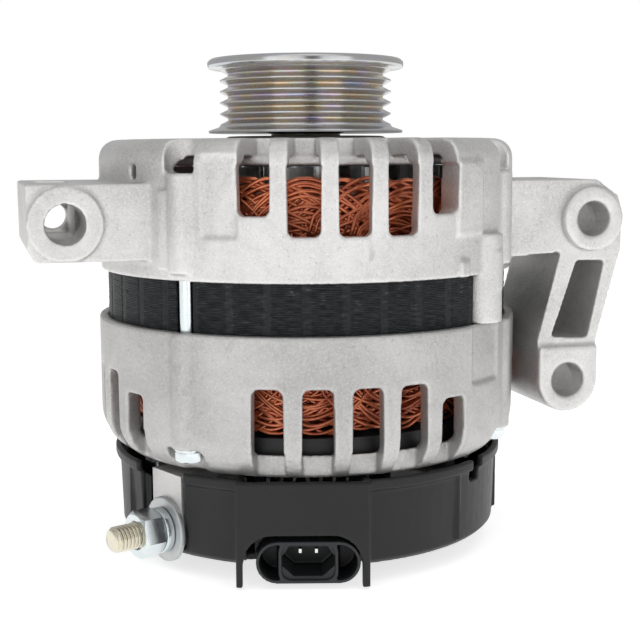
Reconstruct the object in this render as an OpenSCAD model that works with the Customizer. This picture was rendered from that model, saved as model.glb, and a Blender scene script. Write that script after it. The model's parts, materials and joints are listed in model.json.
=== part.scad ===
// Car alternator: claw-pole rotor in a wound stator, clamped between two cast
// aluminium frames, with a five-groove pulley and a covered rectifier end.
// Millimetres. The origin is the centre of the rear cover's foot, on the shaft
// axis, with +Z up to the pulley and the mounting bores along Y.

/* [Overall] */
// Outer radius of the drive-end frame's barrel
front_frame_r = 67.5; // [67:0.5:69]
// Outer radius of the slip-ring-end frame's barrel
rear_frame_r = 68.5; // [68:0.5:70]
// Height of the foot on the rear cover's back
foot_h = 6; // [5:0.5:6]
// Height of the rear cover's wall above the foot
cover_h = 26.3; // [26:0.1:27]
// Height of the slip-ring-end frame
rear_frame_h = 42.5; // [42:0.5:43]
// Height of stator core left open between the two frames
core_gap_h = 15; // [14:0.5:16]
// Height of the drive-end frame
front_frame_h = 41; // [41:0.5:42]

/* [Mounting ears] */
// Distance from the shaft axis to the front face of every ear
ear_front = 36; // [35:0.5:37]
// Front-to-back depth of the single ear
left_ear_d = 58; // [56:1:60]
// Radius of the single ear's front bore
left_front_bore_r = 5.9; // [5.5:0.1:6.1]
// Radius of the single ear's rear bore
left_rear_bore_r = 4.3; // [4:0.1:4.5]
// Front-to-back depth of the double bracket
bracket_d = 42; // [40:1:44]
// Front-to-back depth of the double bracket's leg
leg_d = 36; // [30:0.5:38]
// Radius of both bores in the double bracket
bracket_bore_r = 5.5; // [5:0.1:5.8]

/* [Pulley] */
// Number of belt grooves
groove_n = 5; // [5:1:5]
// Distance between neighbouring grooves
groove_pitch = 3.56; // [3.5:0.01:3.6]
// Radius over the belt ribs
pulley_r = 28; // [27.5:0.1:28.5]
// Radius of the two flanges
flange_r = 32; // [31.5:0.1:32.5]

/* [Windings] */
// Number of stator slots
slot_n = 36; // [36:1:36]
// Height of the end turns above the core
front_turns_h = 22; // [18:0.5:22]
// Height of the end turns below the core
rear_turns_h = 23; // [18:0.5:23]

/* [Terminals] */
// Diameter of the output stud's thread
stud_d = 8; // [8:1:8]
// Length of stud that stands out of its flat washer
stud_out = 18.5; // [17:0.5:20]
// Length over the oval plug shell
plug_w = 30.8; // [29:0.2:31]
// Height over the oval plug shell
plug_h = 12.6; // [12:0.2:12.8]

/* [Hidden] */
$fn = 96;
eps = 0.5;
slip = 0.05;

// Heights along the shaft
cover_top = foot_h + cover_h;
rear_z = cover_top + 0.7;
rear_rim = rear_z + rear_frame_h;
front_rim = rear_rim + core_gap_h;
front_z = front_rim + front_frame_h;
register_h = 8;
core_z0 = rear_rim - register_h;
core_z1 = front_rim + register_h;
core_mid = (core_z0 + core_z1) / 2;
core_r = 65.2;
core_bore_r = 47;
register_r = core_r + 0.1;

// Through bolts
bolt_r = 2.2;
bolt_ring = 64.3;
bolt_head_z = rear_z + 7.7;
bolt_angles = [-138, -38.5, 42, 141.5];

// Columns of the drive-end frame that bridge the gap, clear of the bolts
column_ring = 64.8;
column_angles = [-49, 131];
column_r = 6.2;
column_top = front_rim + 12.2;

// Barrel walls
front_inner_r = 63;
rear_inner_r = 63.4;
plate_t = 6;
front_plate_z = front_z - 5;
front_web_z = front_z - 7;

// Bearings: outer radius, bore radius, width, ball radius, pitch radius, balls
front_brg = [23.5, 8.5, 14, 4.2, 16, 7];
rear_brg = [17.5, 7.5, 11, 2.95, 12.5, 8];
front_brg_z = front_z - 15;
rear_brg_z = rear_z + 6;

// Rotor
pole_r = 46.5;
pole_half = 28.5;
pole_disc_t = 12;
pole_z0 = core_mid - pole_half;
pole_z1 = core_mid + pole_half;
shaft_r = 9;
coil_r = 36;
hub_r = 17;
fan_t = 1.2;
fan_r = 48.5;
claw_n = 6;

// Pulley
pulley_z0 = front_z + 1.9;
pulley_z1 = pulley_z0 + 23.9;
web_z0 = pulley_z0 + 6.5;
web_z1 = pulley_z0 + 13.5;
first_rib_z = pulley_z0 + 6.3;

// Slip rings and brushes
ring_z = [12, 19.5];
ring_h = 5;
ring_r = 11;
sleeve_r = 8.6;
brush_w = 5;
brush_h = 4;
brush_l = 13;
brush_gap = 0.05;

// Connector side and stud side of the rear end
plug_angle = -105;
plug_z = 8.3;
panel_s = 64.5;
panel_w = 39.4;
panel_y = -1.5;
arch_w = 35.2;
arch_y = -1.7;
arch_top = 16.4;
stud_angle = -156.5;
stud_x = -54.2;
stud_y = -31.3;
stud_z = 12.8;
washer_t = 1.6;
spring_t = 2.8;
nut_t = 7.2;
// Radius of the output stud's shank, under its washers and nut
shank_r = stud_d / 2 - 0.25;

// Ears
left_x = -81.5;
left_z = front_rim + 16.5;
left_boss_r = 11;
upper_x = 85.3;
upper_z = front_rim + 15.2;
upper_boss_r = 10.3;
lower_x = 78.2;
lower_z = front_rim - 37.3;
lower_boss_r = 10.6;

function polar(r, a) = [r * cos(a), r * sin(a)];
function arc(cx, cy, r, a0, a1, n) =
    [for (i = [0 : n]) [cx + r * cos(a0 + (a1 - a0) * i / n), cy + r * sin(a0 + (a1 - a0) * i / n)]];

// A plain ring between two heights
module ring(outer, inner, z0, z1) {
    difference() {
        translate([0, 0, z0]) cylinder(r = outer, h = z1 - z0);
        translate([0, 0, z0 - eps]) cylinder(r = inner, h = z1 - z0 + 2 * eps);
    }
}

// A ring sector between two angles
module sector(outer, inner, a0, a1, z0, z1) {
    translate([0, 0, z0])
        rotate([0, 0, a0])
            rotate_extrude(angle = a1 - a0)
                translate([inner, 0]) square([outer - inner, z1 - z0]);
}

// Places its children on a circle, turned to face outwards
module around(r, angles) {
    for (a = angles) rotate([0, 0, a]) translate([r, 0, 0]) children();
}

// A cylinder along Y from y0 to y1
module along_y(r, x, z, y0, y1) {
    translate([x, y1, z]) rotate([90, 0, 0]) cylinder(r = r, h = y1 - y0);
}

// A flat outline in X and Z, extruded along Y from y0 to y1
module plate_y(points, y0, y1) {
    translate([0, y1, 0]) rotate([90, 0, 0]) linear_extrude(y1 - y0) polygon(points);
}

// A hexagon prism measured across its flats
module hex(flats, z0, z1) {
    translate([0, 0, z0]) cylinder(r = flats / sqrt(3), h = z1 - z0, $fn = 6);
}

// Cutter for a barrel window pointing along +X, a little wider at z1, with cropped corners at z0
module wall_window(half_w, z0, z1, r0, r1) {
    crop = min(1.1, half_w / 2);
    draft = 0.3;
    translate([r0, 0, 0]) rotate([90, 0, 90]) linear_extrude(r1 - r0)
        polygon([[-half_w - draft, z1], [-half_w, z0 + crop], [crop - half_w, z0],
            [half_w - crop, z0], [half_w, z0 + crop], [half_w + draft, z1]]);
}

// ---- Drive-end frame ----

front_window_angles = [-118, -105.5, -93, -80.5, -68];
front_window_half = 4.6;
front_long_z = front_rim + 13.2;
front_short_z = front_rim + 19;

module front_shell() {
    shoulder = arc(front_frame_r - 6, front_z - 6, 6, 0, 90, 5);
    rotate_extrude()
        polygon(concat([[front_inner_r, front_rim], [front_frame_r, front_rim]], shoulder,
            [[24, front_z], [24, front_web_z], [52, front_web_z], [53.5, front_plate_z],
             [front_inner_r - 3, front_plate_z], [front_inner_r, front_plate_z - 3]]));
}

module front_window(a, z0) {
    rotate([0, 0, a]) {
        wall_window(front_window_half, z0, front_z - 7.3, 58.3, 72);
        translate([0, 0, front_web_z - 4]) linear_extrude(20)
            polygon([[51, -3.2], [75, -5.2], [75, 5.2], [51, 3.2]]);
    }
}

module front_windows() {
    for (turn = [0, 180]) for (i = [0 : 4])
        front_window(front_window_angles[i] + turn, (i == 0 || i == 4) ? front_short_z : front_long_z);
    // The ears leave room for one long window in each side quarter
    for (a = [22, 152]) front_window(a, front_short_z);
    for (a = [9.5, -3, -15.5, -28, 164.5, 177, 189.5, 202])
        rotate([0, 0, a]) translate([0, 0, front_web_z - 4]) linear_extrude(20)
            polygon([[51, -2.9], [60.5, -3.8], [60.5, 3.8], [51, 2.9]]);
    // Small vent in the blank wall beside the single ear
    rotate([0, 0, -154.5]) wall_window(1.3, front_rim + 29, front_rim + 33.4, 58, 72);
}

module left_ear_solid() {
    x0 = left_x - 10.9;
    z0 = left_z - 11.1;
    z1 = left_z + 11.6;
    plate_y([[x0, z0 + 4.2], [x0 + 2, z0], [-52, z0], [-52, z1], [x0, z1]],
        -ear_front, left_ear_d - ear_front);
    along_y(left_boss_r, left_x, left_z, -ear_front - 1.2, -ear_front + 8);
}

module left_ear_cuts() {
    y1 = left_ear_d - ear_front;
    front_wall = 21;
    wall = 8;
    // Cored pocket, open above
    translate([left_x - 6.5, front_wall - ear_front, left_z - 5.5])
        cube([11, left_ear_d - front_wall - wall, 30]);
    // Second core behind the front wall, open below
    translate([left_x + 7.5, wall - ear_front, left_z - 12]) cube([5, left_ear_d - 2 * wall, 17]);
    along_y(left_front_bore_r, left_x, left_z, -ear_front - 2, front_wall - ear_front + eps);
    along_y(left_rear_bore_r, left_x, left_z, y1 - wall - eps, y1 + eps);
}

module right_bracket_solid() {
    arm_z0 = upper_z - 12.3;
    arm_z1 = upper_z + 12.5;
    plate_y([[52, arm_z0], [97, arm_z0 + 3], [97, upper_z], [95.8, upper_z + 7], [88, arm_z1],
        [52, arm_z1]], -ear_front, bracket_d - ear_front);
    // The leg and its boss are hollowed where they pass the rear frame
    difference() {
        union() {
            plate_y([[75.4, arm_z0 + 2], [lower_x - 10.4, lower_z + 13.7], [lower_x - 10.5, lower_z],
                [lower_x + 10.5, lower_z], [lower_x + 10.5, lower_z + 12.9], [96.6, upper_z - 10.9],
                [97, upper_z]], -ear_front, leg_d - ear_front);
            along_y(lower_boss_r, lower_x, lower_z, -ear_front, leg_d - ear_front);
        }
        translate([0, 0, lower_z - 20]) cylinder(r = rear_frame_r + 1.2, h = front_rim - 4 - lower_z + 20);
    }
    along_y(upper_boss_r, upper_x, upper_z, -ear_front - 3.5, -ear_front + 10);
    // Raised pad round the lower bore
    pad_r = lower_boss_r - 0.3;
    plate_y(concat([[lower_x + pad_r, lower_z + 11], [lower_x - pad_r, lower_z + 11]],
        arc(lower_x, lower_z, pad_r, 180, 360, 16)), -ear_front - 1.6, -ear_front + 1);
}

module right_bracket_cuts() {
    back = bracket_d - ear_front;
    // Deep pocket between the inner rib and the outer leg
    plate_y([[81.1, upper_z - 13.6], [90.9, upper_z - 13.9], [85.4, lower_z + 13.6],
        [72.6, lower_z + 14.2]], -ear_front - 1, leg_d - ear_front - 3);
    // Lightening pocket in the arm, open behind
    translate([69.5, 8 - ear_front, upper_z - 8]) cube([6, bracket_d, 16.5]);
    along_y(bracket_bore_r, upper_x, upper_z, -ear_front - 5, -ear_front + 8.5);
    along_y(7.4, upper_x, upper_z, -ear_front + 8.5, back + 1);
    along_y(bracket_bore_r, lower_x, lower_z, -ear_front - 3, -ear_front + 9);
    along_y(7.4, lower_x, lower_z, -ear_front + 9, leg_d - ear_front + 1);
    for (p = [[upper_x, upper_z, 3.5], [lower_x, lower_z, 1.6]])
        translate([p[0], -ear_front - p[2] + 0.8, p[1]]) rotate([90, 0, 0])
            cylinder(r1 = bracket_bore_r, r2 = bracket_bore_r + 1.5, h = 1.5);
}

module drive_end_frame() {
    color("gainsboro")
    difference() {
        union() {
            difference() {
                union() {
                    front_shell();
                    translate([0, 0, front_brg_z]) cylinder(r = 29, h = front_z - front_brg_z);
                    left_ear_solid();
                    right_bracket_solid();
                    // Bosses that take the bolt threads
                    around(bolt_ring, bolt_angles)
                        translate([0, 0, front_rim + 2]) cylinder(r = 5.3, h = front_frame_h - 12);
                    // Flat pad between the last window and the column, and a small block below it
                    rotate([0, 0, -59.3]) translate([60, -6, column_top])
                        cube([8.3, 12, front_z - 7 - column_top]);
                    rotate([0, 0, -61.3]) translate([60, -2.1, front_rim]) cube([8.5, 4.2, 4.6]);
                    // Upright rib at the root of the single ear
                    rotate([0, 0, -143.3]) translate([60, -1.5, front_rim + 3]) cube([8.6, 3, 23]);
                }
                translate([0, 0, front_rim - 50]) cylinder(r = register_r, h = 50 + register_h);
                translate([0, 0, core_z1 - eps])
                    cylinder(r = front_inner_r - 4, h = front_plate_z - core_z1 - 3);
                front_windows();
            }
            // Columns that reach down to the other frame, each with a raised pad on its face
            around(column_ring, column_angles)
                translate([0, 0, rear_rim]) cylinder(r = column_r, h = column_top - rear_rim);
            around(67.2, column_angles)
                translate([0, 0, front_rim - 4.5]) cylinder(r = 4.2, h = 11.5);
            translate([0, 0, front_z - 2]) cylinder(r = 26, h = 3);
        }
        // Bearing seat, with a lip above it
        translate([0, 0, front_brg_z - eps]) cylinder(r = front_brg[0], h = front_brg[2] + eps);
        cylinder(r = 19.5, h = front_z + 5);
        around(bolt_ring, bolt_angles)
            translate([0, 0, rear_rim - 5]) cylinder(r = bolt_r + 0.15, h = front_z - rear_rim - 6.8);
        // Scallops over the bolt bosses
        around(bolt_ring + 1.7, bolt_angles)
            translate([0, 0, front_z - 10]) cylinder(r = 5.4, h = 20);
        // Shallow flat beside the first window
        rotate([0, 0, -126.6]) translate([66.7, -5.5, column_top + 0.2]) cube([8, 11, 24]);
        around(26.3, [45, 135, 225, 315]) translate([0, 0, front_brg_z - eps]) cylinder(r = 1.5, h = 9);
        left_ear_cuts();
        right_bracket_cuts();
    }
}

// ---- Slip-ring-end frame ----

rear_window_angles = [-114.8, -102.4, -90, -77.6, -65.2];
rear_window_half = 4.4;
intake_spans = [[41, 98], [114, 169], [185, 262], [275, 345], [355, 385]];

module rear_shell() {
    foot = arc(rear_frame_r - 13, rear_z + 12, 13, 0, -55, 5);
    rotate_extrude()
        polygon(concat([[rear_inner_r, rear_rim + eps], [rear_frame_r, rear_rim + eps]], foot,
            [[61, rear_z], [14, rear_z], [14, rear_z + plate_t], [60, rear_z + plate_t],
             [rear_inner_r, rear_z + plate_t + 3]]));
}

module rear_window(a, z1) {
    rotate([0, 0, a]) {
        mirror([0, 0, 1]) wall_window(rear_window_half, -z1, -rear_z - 7.2, 55, 75);
        wall_window(rear_window_half, rear_z - 5, rear_z + 8, 61.2, 75);
    }
}

module slip_ring_end_frame() {
    long_z = rear_z + 27.2;
    color("silver")
    difference() {
        union() {
            difference() {
                union() {
                    rear_shell();
                    around(bolt_ring, bolt_angles)
                        translate([0, 0, bolt_head_z]) cylinder(r = 5.4, h = rear_rim + eps - bolt_head_z);
                }
                translate([0, 0, rear_rim]) cylinder(r = 80, h = 10);
                translate([0, 0, core_z0]) cylinder(r = register_r, h = 20);
                translate([0, 0, rear_z + plate_t + 3]) cylinder(r = rear_inner_r - 4, h = 40);
                for (turn = [0 : 90 : 270]) for (i = [0 : 4])
                    rear_window(rear_window_angles[i] + turn, i == 4 ? long_z - 5.2 : long_z);
            }
            translate([0, 0, rear_z]) cylinder(r = 22, h = 18);
        }
        translate([0, 0, rear_brg_z]) cylinder(r = rear_brg[0], h = 30);
        translate([0, 0, rear_z - eps]) cylinder(r = 13, h = 20);
        // Intake openings in the end plate
        for (span = intake_spans) sector(46, 28, span[0], span[1], rear_z - eps, rear_z + plate_t + 1);
        around(bolt_ring, bolt_angles)
            translate([0, 0, rear_z - 5]) cylinder(r = bolt_r + 0.15, h = 60);
        // Pockets for the bolt heads, under the bosses
        around(bolt_ring + 1.5, bolt_angles)
            translate([0, 0, rear_z - 5]) cylinder(r = 6.6, h = bolt_head_z - rear_z + 5);
        // Recessed panels below the columns
        for (a = column_angles)
            rotate([0, 0, a - 3]) translate([67.4, -7.5, rear_z + 24.5]) cube([8, 15, 20]);
        // Holes for the stator leads, the cover studs and the rectifier screws
        around(52.5, lead_angles) translate([0, 0, rear_z - eps]) cylinder(r = 2.4, h = 8);
        around(cover_stud_ring, cover_stud_angles) translate([0, 0, rear_z - eps]) cylinder(r = 2.4, h = 5.5);
        around(rect_screw_ring, rect_screw_angles)
            translate([0, 0, rear_z - eps]) cylinder(r = rect_screw_r, h = 5);
    }
}

// ---- Stator ----

slot_w = 3.4;
slot_r0 = 48.6;
slot_r1 = 57.6;
liner_t = 0.3;
turns_r0 = 50.8;
turns_r1 = 58.4;

module stator_core() {
    color([0.14, 0.15, 0.16])
    translate([0, 0, core_z0]) linear_extrude(core_z1 - core_z0)
    difference() {
        circle(r = core_r);
        circle(r = core_bore_r);
        for (i = [0 : slot_n - 1]) rotate(i * 360 / slot_n) {
            translate([slot_r0, -slot_w / 2]) square([slot_r1 - slot_r0, slot_w]);
            translate([core_bore_r - 1, -1]) square([slot_r0 - core_bore_r + 1.5, 2]);
        }
        for (a = bolt_angles) rotate(a) translate([bolt_ring, 0]) circle(r = 3);
        for (a = column_angles) rotate(a) translate([column_ring, 0]) circle(r = column_r + 0.1);
    }
}

module stator_winding() {
    bar_w = slot_w - 2 * liner_t - 0.2;
    color([0.72, 0.33, 0.16]) {
        rotate_extrude() polygon(concat([[turns_r0, core_z1 + 2], [turns_r1, core_z1 + 2]],
            arc(turns_r1 - 3, core_z1 + front_turns_h - 3, 3, 0, 90, 4),
            arc(turns_r0 + 3, core_z1 + front_turns_h - 3, 3, 90, 180, 4)));
        rotate_extrude() polygon(concat([[turns_r1, core_z0 - 2], [turns_r0, core_z0 - 2]],
            arc(turns_r0 + 3, core_z0 - rear_turns_h + 3, 3, 180, 270, 4),
            arc(turns_r1 - 3, core_z0 - rear_turns_h + 3, 3, 270, 360, 4)));
        around(slot_r0 + 2.6, [for (i = [0 : slot_n - 1]) i * 360 / slot_n])
            translate([0, -bar_w / 2, core_z0 - 3]) cube([5.8, bar_w, core_z1 - core_z0 + 6]);
    }
}

module slot_liners() {
    color("ivory")
    translate([0, 0, core_z0 - 1.5]) linear_extrude(core_z1 - core_z0 + 3)
    for (i = [0 : slot_n - 1]) rotate(i * 360 / slot_n) difference() {
        translate([slot_r0 + 0.2, 0.05 - slot_w / 2]) square([slot_r1 - slot_r0 - 0.25, slot_w - 0.1]);
        translate([slot_r0 - 1, liner_t - slot_w / 2])
            square([slot_r1 - slot_r0 + 0.6, slot_w - 2 * liner_t]);
    }
}

lead_angles = [30, 75, 120];

module stator_leads() {
    color([0.72, 0.33, 0.16])
    around(52.5, lead_angles) translate([0, 0, 15]) cylinder(r = 0.9, h = core_z0 - rear_turns_h - 15);
}

// Plastic ring that keeps the rear end turns off the end plate
module rear_baffle() {
    z0 = rear_z + plate_t;
    color([0.1, 0.1, 0.1])
    difference() {
        ring(58.7, 49.9, z0, core_z0 - rear_turns_h - 0.4);
        around(52.5, lead_angles) translate([0, 0, z0 - eps]) cylinder(r = 1.5, h = 8);
    }
}

module through_bolts() {
    color("lightgray")
    around(bolt_ring, bolt_angles) {
        translate([0, 0, bolt_head_z]) cylinder(r = bolt_r, h = front_z - 12 - bolt_head_z);
        translate([0, 0, bolt_head_z - 0.9]) cylinder(r = 4.6, h = 0.9);
        hex(7.6, bolt_head_z - 4, bolt_head_z - 0.9);
    }
}

// ---- Bearings ----

module race(inner_r, outer_r, b, z0) {
    translate([0, 0, z0]) rotate_extrude() difference() {
        translate([inner_r, 0]) square([outer_r - inner_r, b[2]]);
        translate([b[4], b[2] / 2]) circle(r = b[3] + slip);
    }
}

module seals(b, z0) {
    inner = b[4] - b[3] * 0.85 + 0.15;
    outer = b[4] + b[3] * 0.9;
    for (dz = [0.2, b[2] - 0.7]) ring(outer, inner, z0 + dz, z0 + dz + 0.5);
}

module balls(b, z0) {
    around(b[4], [for (i = [0 : b[5] - 1]) i * 360 / b[5]])
        translate([0, 0, z0 + b[2] / 2]) sphere(r = b[3]);
}

// Crown cage: a ring under the balls with prongs between them
module cage(b, z0) {
    half = b[3] * 0.32;
    difference() {
        ring(b[4] + half, b[4] - half, z0 + b[2] / 2 - b[3] - 1, z0 + b[2] / 2 + 0.25 * b[3]);
        around(b[4], [for (i = [0 : b[5] - 1]) i * 360 / b[5]])
            translate([0, 0, z0 + b[2] / 2]) sphere(r = b[3] + 0.1);
    }
}

module front_bearing_outer_race() {
    color("lightsteelblue") race(front_brg[4] + front_brg[3] * 0.9, front_brg[0], front_brg, front_brg_z);
}
module front_bearing_inner_race() {
    color("lightsteelblue") race(front_brg[1], front_brg[4] - front_brg[3] * 0.85, front_brg, front_brg_z);
}
module front_bearing_seals() { color("black") seals(front_brg, front_brg_z); }
module front_bearing_balls() { color("silver") balls(front_brg, front_brg_z); }
module front_bearing_cage() { color("khaki") cage(front_brg, front_brg_z); }
module rear_bearing_outer_race() {
    color("lightsteelblue") race(rear_brg[4] + rear_brg[3] * 0.9, rear_brg[0], rear_brg, rear_brg_z);
}
module rear_bearing_inner_race() {
    color("lightsteelblue") race(rear_brg[1], rear_brg[4] - rear_brg[3] * 0.85, rear_brg, rear_brg_z);
}
module rear_bearing_seals() { color("black") seals(rear_brg, rear_brg_z); }
module rear_bearing_balls() { color("silver") balls(rear_brg, rear_brg_z); }
module rear_bearing_cage() { color("khaki") cage(rear_brg, rear_brg_z); }

module bearing_retainer() {
    color("darkgray")
    difference() {
        ring(28.5, 17.5, front_brg_z - 2.6, front_brg_z);
        around(26.3, [45, 135, 225, 315])
            translate([0, 0, front_brg_z - 3]) cylinder(r = 1.6, h = 4);
        around(26.3, [45, 135, 225, 315])
            translate([0, 0, front_brg_z - 2.7]) cylinder(r = 2.1, h = 1.6);
    }
}

module retainer_screws() {
    color("silver")
    around(26.3, [45, 135, 225, 315]) {
        translate([0, 0, front_brg_z - 2.6]) cylinder(r = 2, h = 1.5);
        translate([0, 0, front_brg_z - 1.2]) cylinder(r = 1.45, h = 8);
    }
}

// ---- Rear cover ----

module panel_place() { rotate([0, 0, plug_angle]) children(); }
module stud_place() { translate([stud_x, stud_y, stud_z]) rotate([0, 0, stud_angle]) children(); }

cover_r0 = 62.3;
cover_r1 = 63.0;
cover_t = 2.4;
lip_r = 64.4;
cover_stud_ring = 52.5;
cover_stud_angles = [5, 95, 187];

module cover_shell() {
    rotate_extrude() polygon([[0, 0], [42, 0], [44.5, foot_h - 1], [47, foot_h], [cover_r0 - 1.5, foot_h],
        [cover_r0, foot_h + 1.5], [cover_r1, cover_top - 3.6], [lip_r, cover_top - 3.2],
        [lip_r, cover_top], [lip_r - 2, cover_top], [lip_r - 2, cover_top - 2.5],
        [cover_r1 - cover_t, cover_top - 4.5], [cover_r0 - cover_t, foot_h + cover_t],
        [46, foot_h + cover_t], [42, cover_t], [0, cover_t]]);
}

module arch_outline() {
    r = 8.8;
    polygon(concat([[-arch_w / 2, -2]], arc(r - arch_w / 2, arch_top - r, r, 180, 90, 6),
        arc(arch_w / 2 - r, arch_top - r, r, 90, 0, 6), [[arch_w / 2, -2]]));
}

module rear_cover() {
    panel_top = cover_top + 0.1;
    color([0.16, 0.16, 0.17])
    difference() {
        union() {
            cover_shell();
            // Flat front panel with two legs beside the plug
            panel_place() difference() {
                translate([56, panel_y - panel_w / 2, 0.8]) cube([panel_s - 56, panel_w, panel_top - 0.8]);
                translate([50, panel_y - panel_w / 2 - 1, -1])
                    cube([panel_s - 50 - 3.2, panel_w + 2, foot_h + 1.6]);
            }
            // Moulded ribs on the wall
            for (a = [-57.5, -168, -20, 20, 60, 100, 140])
                rotate([0, 0, a]) translate([cover_r0 - 1.2, -0.5, foot_h + 2.2])
                    cube([2.5, 1, cover_h - 3.5]);
        }
        panel_place() translate([20, panel_y - panel_w / 2 + cover_t, foot_h + cover_t + 0.4])
            cube([panel_s - 20 - cover_t, panel_w - 2 * cover_t, 40]);
        // Arch round the plug, also through the floor behind it
        panel_place() translate([36, arch_y, 0]) rotate([90, 0, 90]) linear_extrude(40) arch_outline();
        // Opening for the output terminal
        stud_place() {
            translate([-1.3, -11.5, -20]) cube([20, 22, 60]);
            translate([-17, -9, foot_h + cover_t + 0.4 - stud_z]) cube([25, 18, 60]);
        }
        // Square notch in the lip
        rotate([0, 0, -49]) translate([58, -2.8, cover_top - 7]) cube([10, 5.6, 10]);
        rotate([0, 0, 110]) translate([58, -2.8, cover_top - 7]) cube([10, 5.6, 10]);
        around(cover_stud_ring, cover_stud_angles) translate([0, 0, -1]) cylinder(r = 2.7, h = 20);
        // Cooling slots in the back
        for (a = [0 : 12 : 348]) if (a < 225 || a > 285)
            rotate([0, 0, a]) translate([18, -1.3, -1]) cube([20, 2.6, 6]);
    }
}

module cover_studs() {
    color("silver")
    around(cover_stud_ring, cover_stud_angles) {
        translate([0, 0, 3]) cylinder(r = 2.4, h = rear_z + 2);
        translate([0, 0, foot_h + cover_t + 0.1]) cylinder(r = 4, h = rear_z - 4 - foot_h - cover_t - 0.1);
    }
}

module cover_nuts() {
    color("silver")
    around(cover_stud_ring, cover_stud_angles) difference() {
        union() {
            translate([0, 0, foot_h - 1]) cylinder(r = 5.2, h = 1);
            hex(8, foot_h - 4.6, foot_h - 1);
        }
        translate([0, 0, 0]) cylinder(r = 2.4, h = 10);
    }
}

// ---- Rectifier ----

rect_a0 = -38;
rect_a1 = 192;
pos_z = 19;
neg_z = rear_z - 4;
diode_r = 6.35;
pos_angles = [-22, 16, 50, 88, 122, 158];
neg_angles = [-3, 33, 69, 106, 140, 177];
rect_screw_ring = 33.5;
rect_screw_angles = [33, 106, 177];
rect_screw_r = 1.6;

module positive_heatsink() {
    color("darkgray")
    difference() {
        union() {
            sector(50, 30, rect_a0, rect_a1 + 22, pos_z, pos_z + 4);
            // Thick lug that carries the output stud
            stud_place() translate([-15, -8, 9.2 - stud_z]) cube([13.7, 16, 21.3]);
        }
        around(40, pos_angles) translate([0, 0, pos_z - eps]) cylinder(r = diode_r, h = 6);
        around(43, neg_angles) translate([0, 0, pos_z - eps]) cylinder(r = 2.2, h = 6);
        around(cover_stud_ring, cover_stud_angles) translate([0, 0, pos_z - eps]) cylinder(r = 4.6, h = 6);
        around(rect_screw_ring, rect_screw_angles) translate([0, 0, pos_z - eps]) cylinder(r = 3, h = 6);
        stud_place() translate([-11, 0, 0]) rotate([0, 90, 0]) cylinder(r = shank_r + 0.1, h = 12);
    }
}

module negative_heatsink() {
    color("silver")
    difference() {
        sector(56, 30, rect_a0, rect_a1, neg_z, rear_z);
        around(43, neg_angles) translate([0, 0, neg_z - eps]) cylinder(r = diode_r, h = 6);
        around(52.5, lead_angles) translate([0, 0, neg_z - eps]) cylinder(r = 2, h = 6);
        around(cover_stud_ring, cover_stud_angles) translate([0, 0, neg_z - eps]) cylinder(r = 2.4, h = 6);
        around(rect_screw_ring, rect_screw_angles)
            translate([0, 0, neg_z - eps]) cylinder(r = rect_screw_r, h = 6);
    }
}

module positive_diodes() {
    color("dimgray")
    around(40, pos_angles) {
        translate([0, 0, pos_z - 1.5]) cylinder(r = diode_r, h = 5.5);
        translate([0, 0, 13.2]) cylinder(r = 0.8, h = pos_z - 14.2);
    }
}

module negative_diodes() {
    color("dimgray")
    around(43, neg_angles) {
        translate([0, 0, neg_z - 1.5]) cylinder(r = diode_r, h = 5.5);
        translate([0, 0, 13.2]) cylinder(r = 0.8, h = neg_z - 14.2);
    }
}

module rectifier_terminal_frame() {
    color([0.2, 0.2, 0.22])
    difference() {
        sector(47.5, 30, rect_a0, rect_a1, 13.5, 15.5);
        around(40, pos_angles) translate([0, 0, 13]) cylinder(r = 1, h = 4);
        around(43, neg_angles) translate([0, 0, 13]) cylinder(r = 1, h = 4);
        around(rect_screw_ring, rect_screw_angles) translate([0, 0, 13]) cylinder(r = rect_screw_r, h = 4);
    }
}

module rectifier_screws() {
    color("silver")
    around(rect_screw_ring, rect_screw_angles) {
        translate([0, 0, 11.5]) cylinder(r = 3.2, h = 2);
        translate([0, 0, 13]) cylinder(r = rect_screw_r, h = rear_z + 4 - 13);
    }
}

// ---- Output terminal ----

// Full diameter in the lug and beyond the nut, and a hair less inside the washers and the nut
module output_stud() {
    tip = stud_out;
    shank_s1 = washer_t + spring_t + nut_t - 1;
    color([0.85, 0.8, 0.55])
    stud_place() rotate([0, 90, 0]) {
        translate([0, 0, -11]) cylinder(r = shank_r, h = shank_s1 + 11 + eps);
        translate([0, 0, shank_s1]) cylinder(r = stud_d / 2, h = tip - 1 - shank_s1);
        translate([0, 0, tip - 1]) cylinder(r1 = stud_d / 2, r2 = stud_d / 2 - 0.8, h = 1);
    }
}

module washer(outer, t, s) {
    stud_place() translate([s, 0, 0]) rotate([0, 90, 0]) difference() {
        cylinder(r = outer, h = t);
        translate([0, 0, -1]) cylinder(r = stud_d / 2 + 0.1, h = t + 2);
    }
}

module output_flat_washer() { color("silver") washer(10, washer_t, -1.3); }
module output_spring_washer() {
    color("lightgray") difference() {
        washer(7, spring_t, washer_t - 1.3);
        stud_place() translate([washer_t - 1.8, -0.5, -8]) rotate([20, 0, 0]) cube([4, 1, 6]);
    }
}
module output_nut() {
    s = washer_t + spring_t - 1.3;
    color("lightgray")
    stud_place() translate([s, 0, 0]) rotate([0, 90, 0]) rotate([0, 0, 18]) difference() {
        intersection() {
            hex(13, 0, nut_t);
            translate([0, 0, -3.2]) cylinder(r1 = 11.5, r2 = 6.2, h = nut_t + 3.4);
        }
        translate([0, 0, -1]) cylinder(r = shank_r + 0.05, h = nut_t + 2);
    }
}

// ---- Regulator, plug and brushes ----

module oval(w, h, s0, s1) {
    r = h / 2;
    translate([s0, 0, plug_z]) rotate([0, 90, 0]) linear_extrude(s1 - s0)
        polygon(concat(arc(0, w / 2 - r, r, 0, 180, 12), arc(0, r - w / 2, r, 180, 360, 12)));
}

plug_s0 = 46;
plug_s1 = 64.2;
socket_w = 15.4;
socket_h = 9.8;

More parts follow.
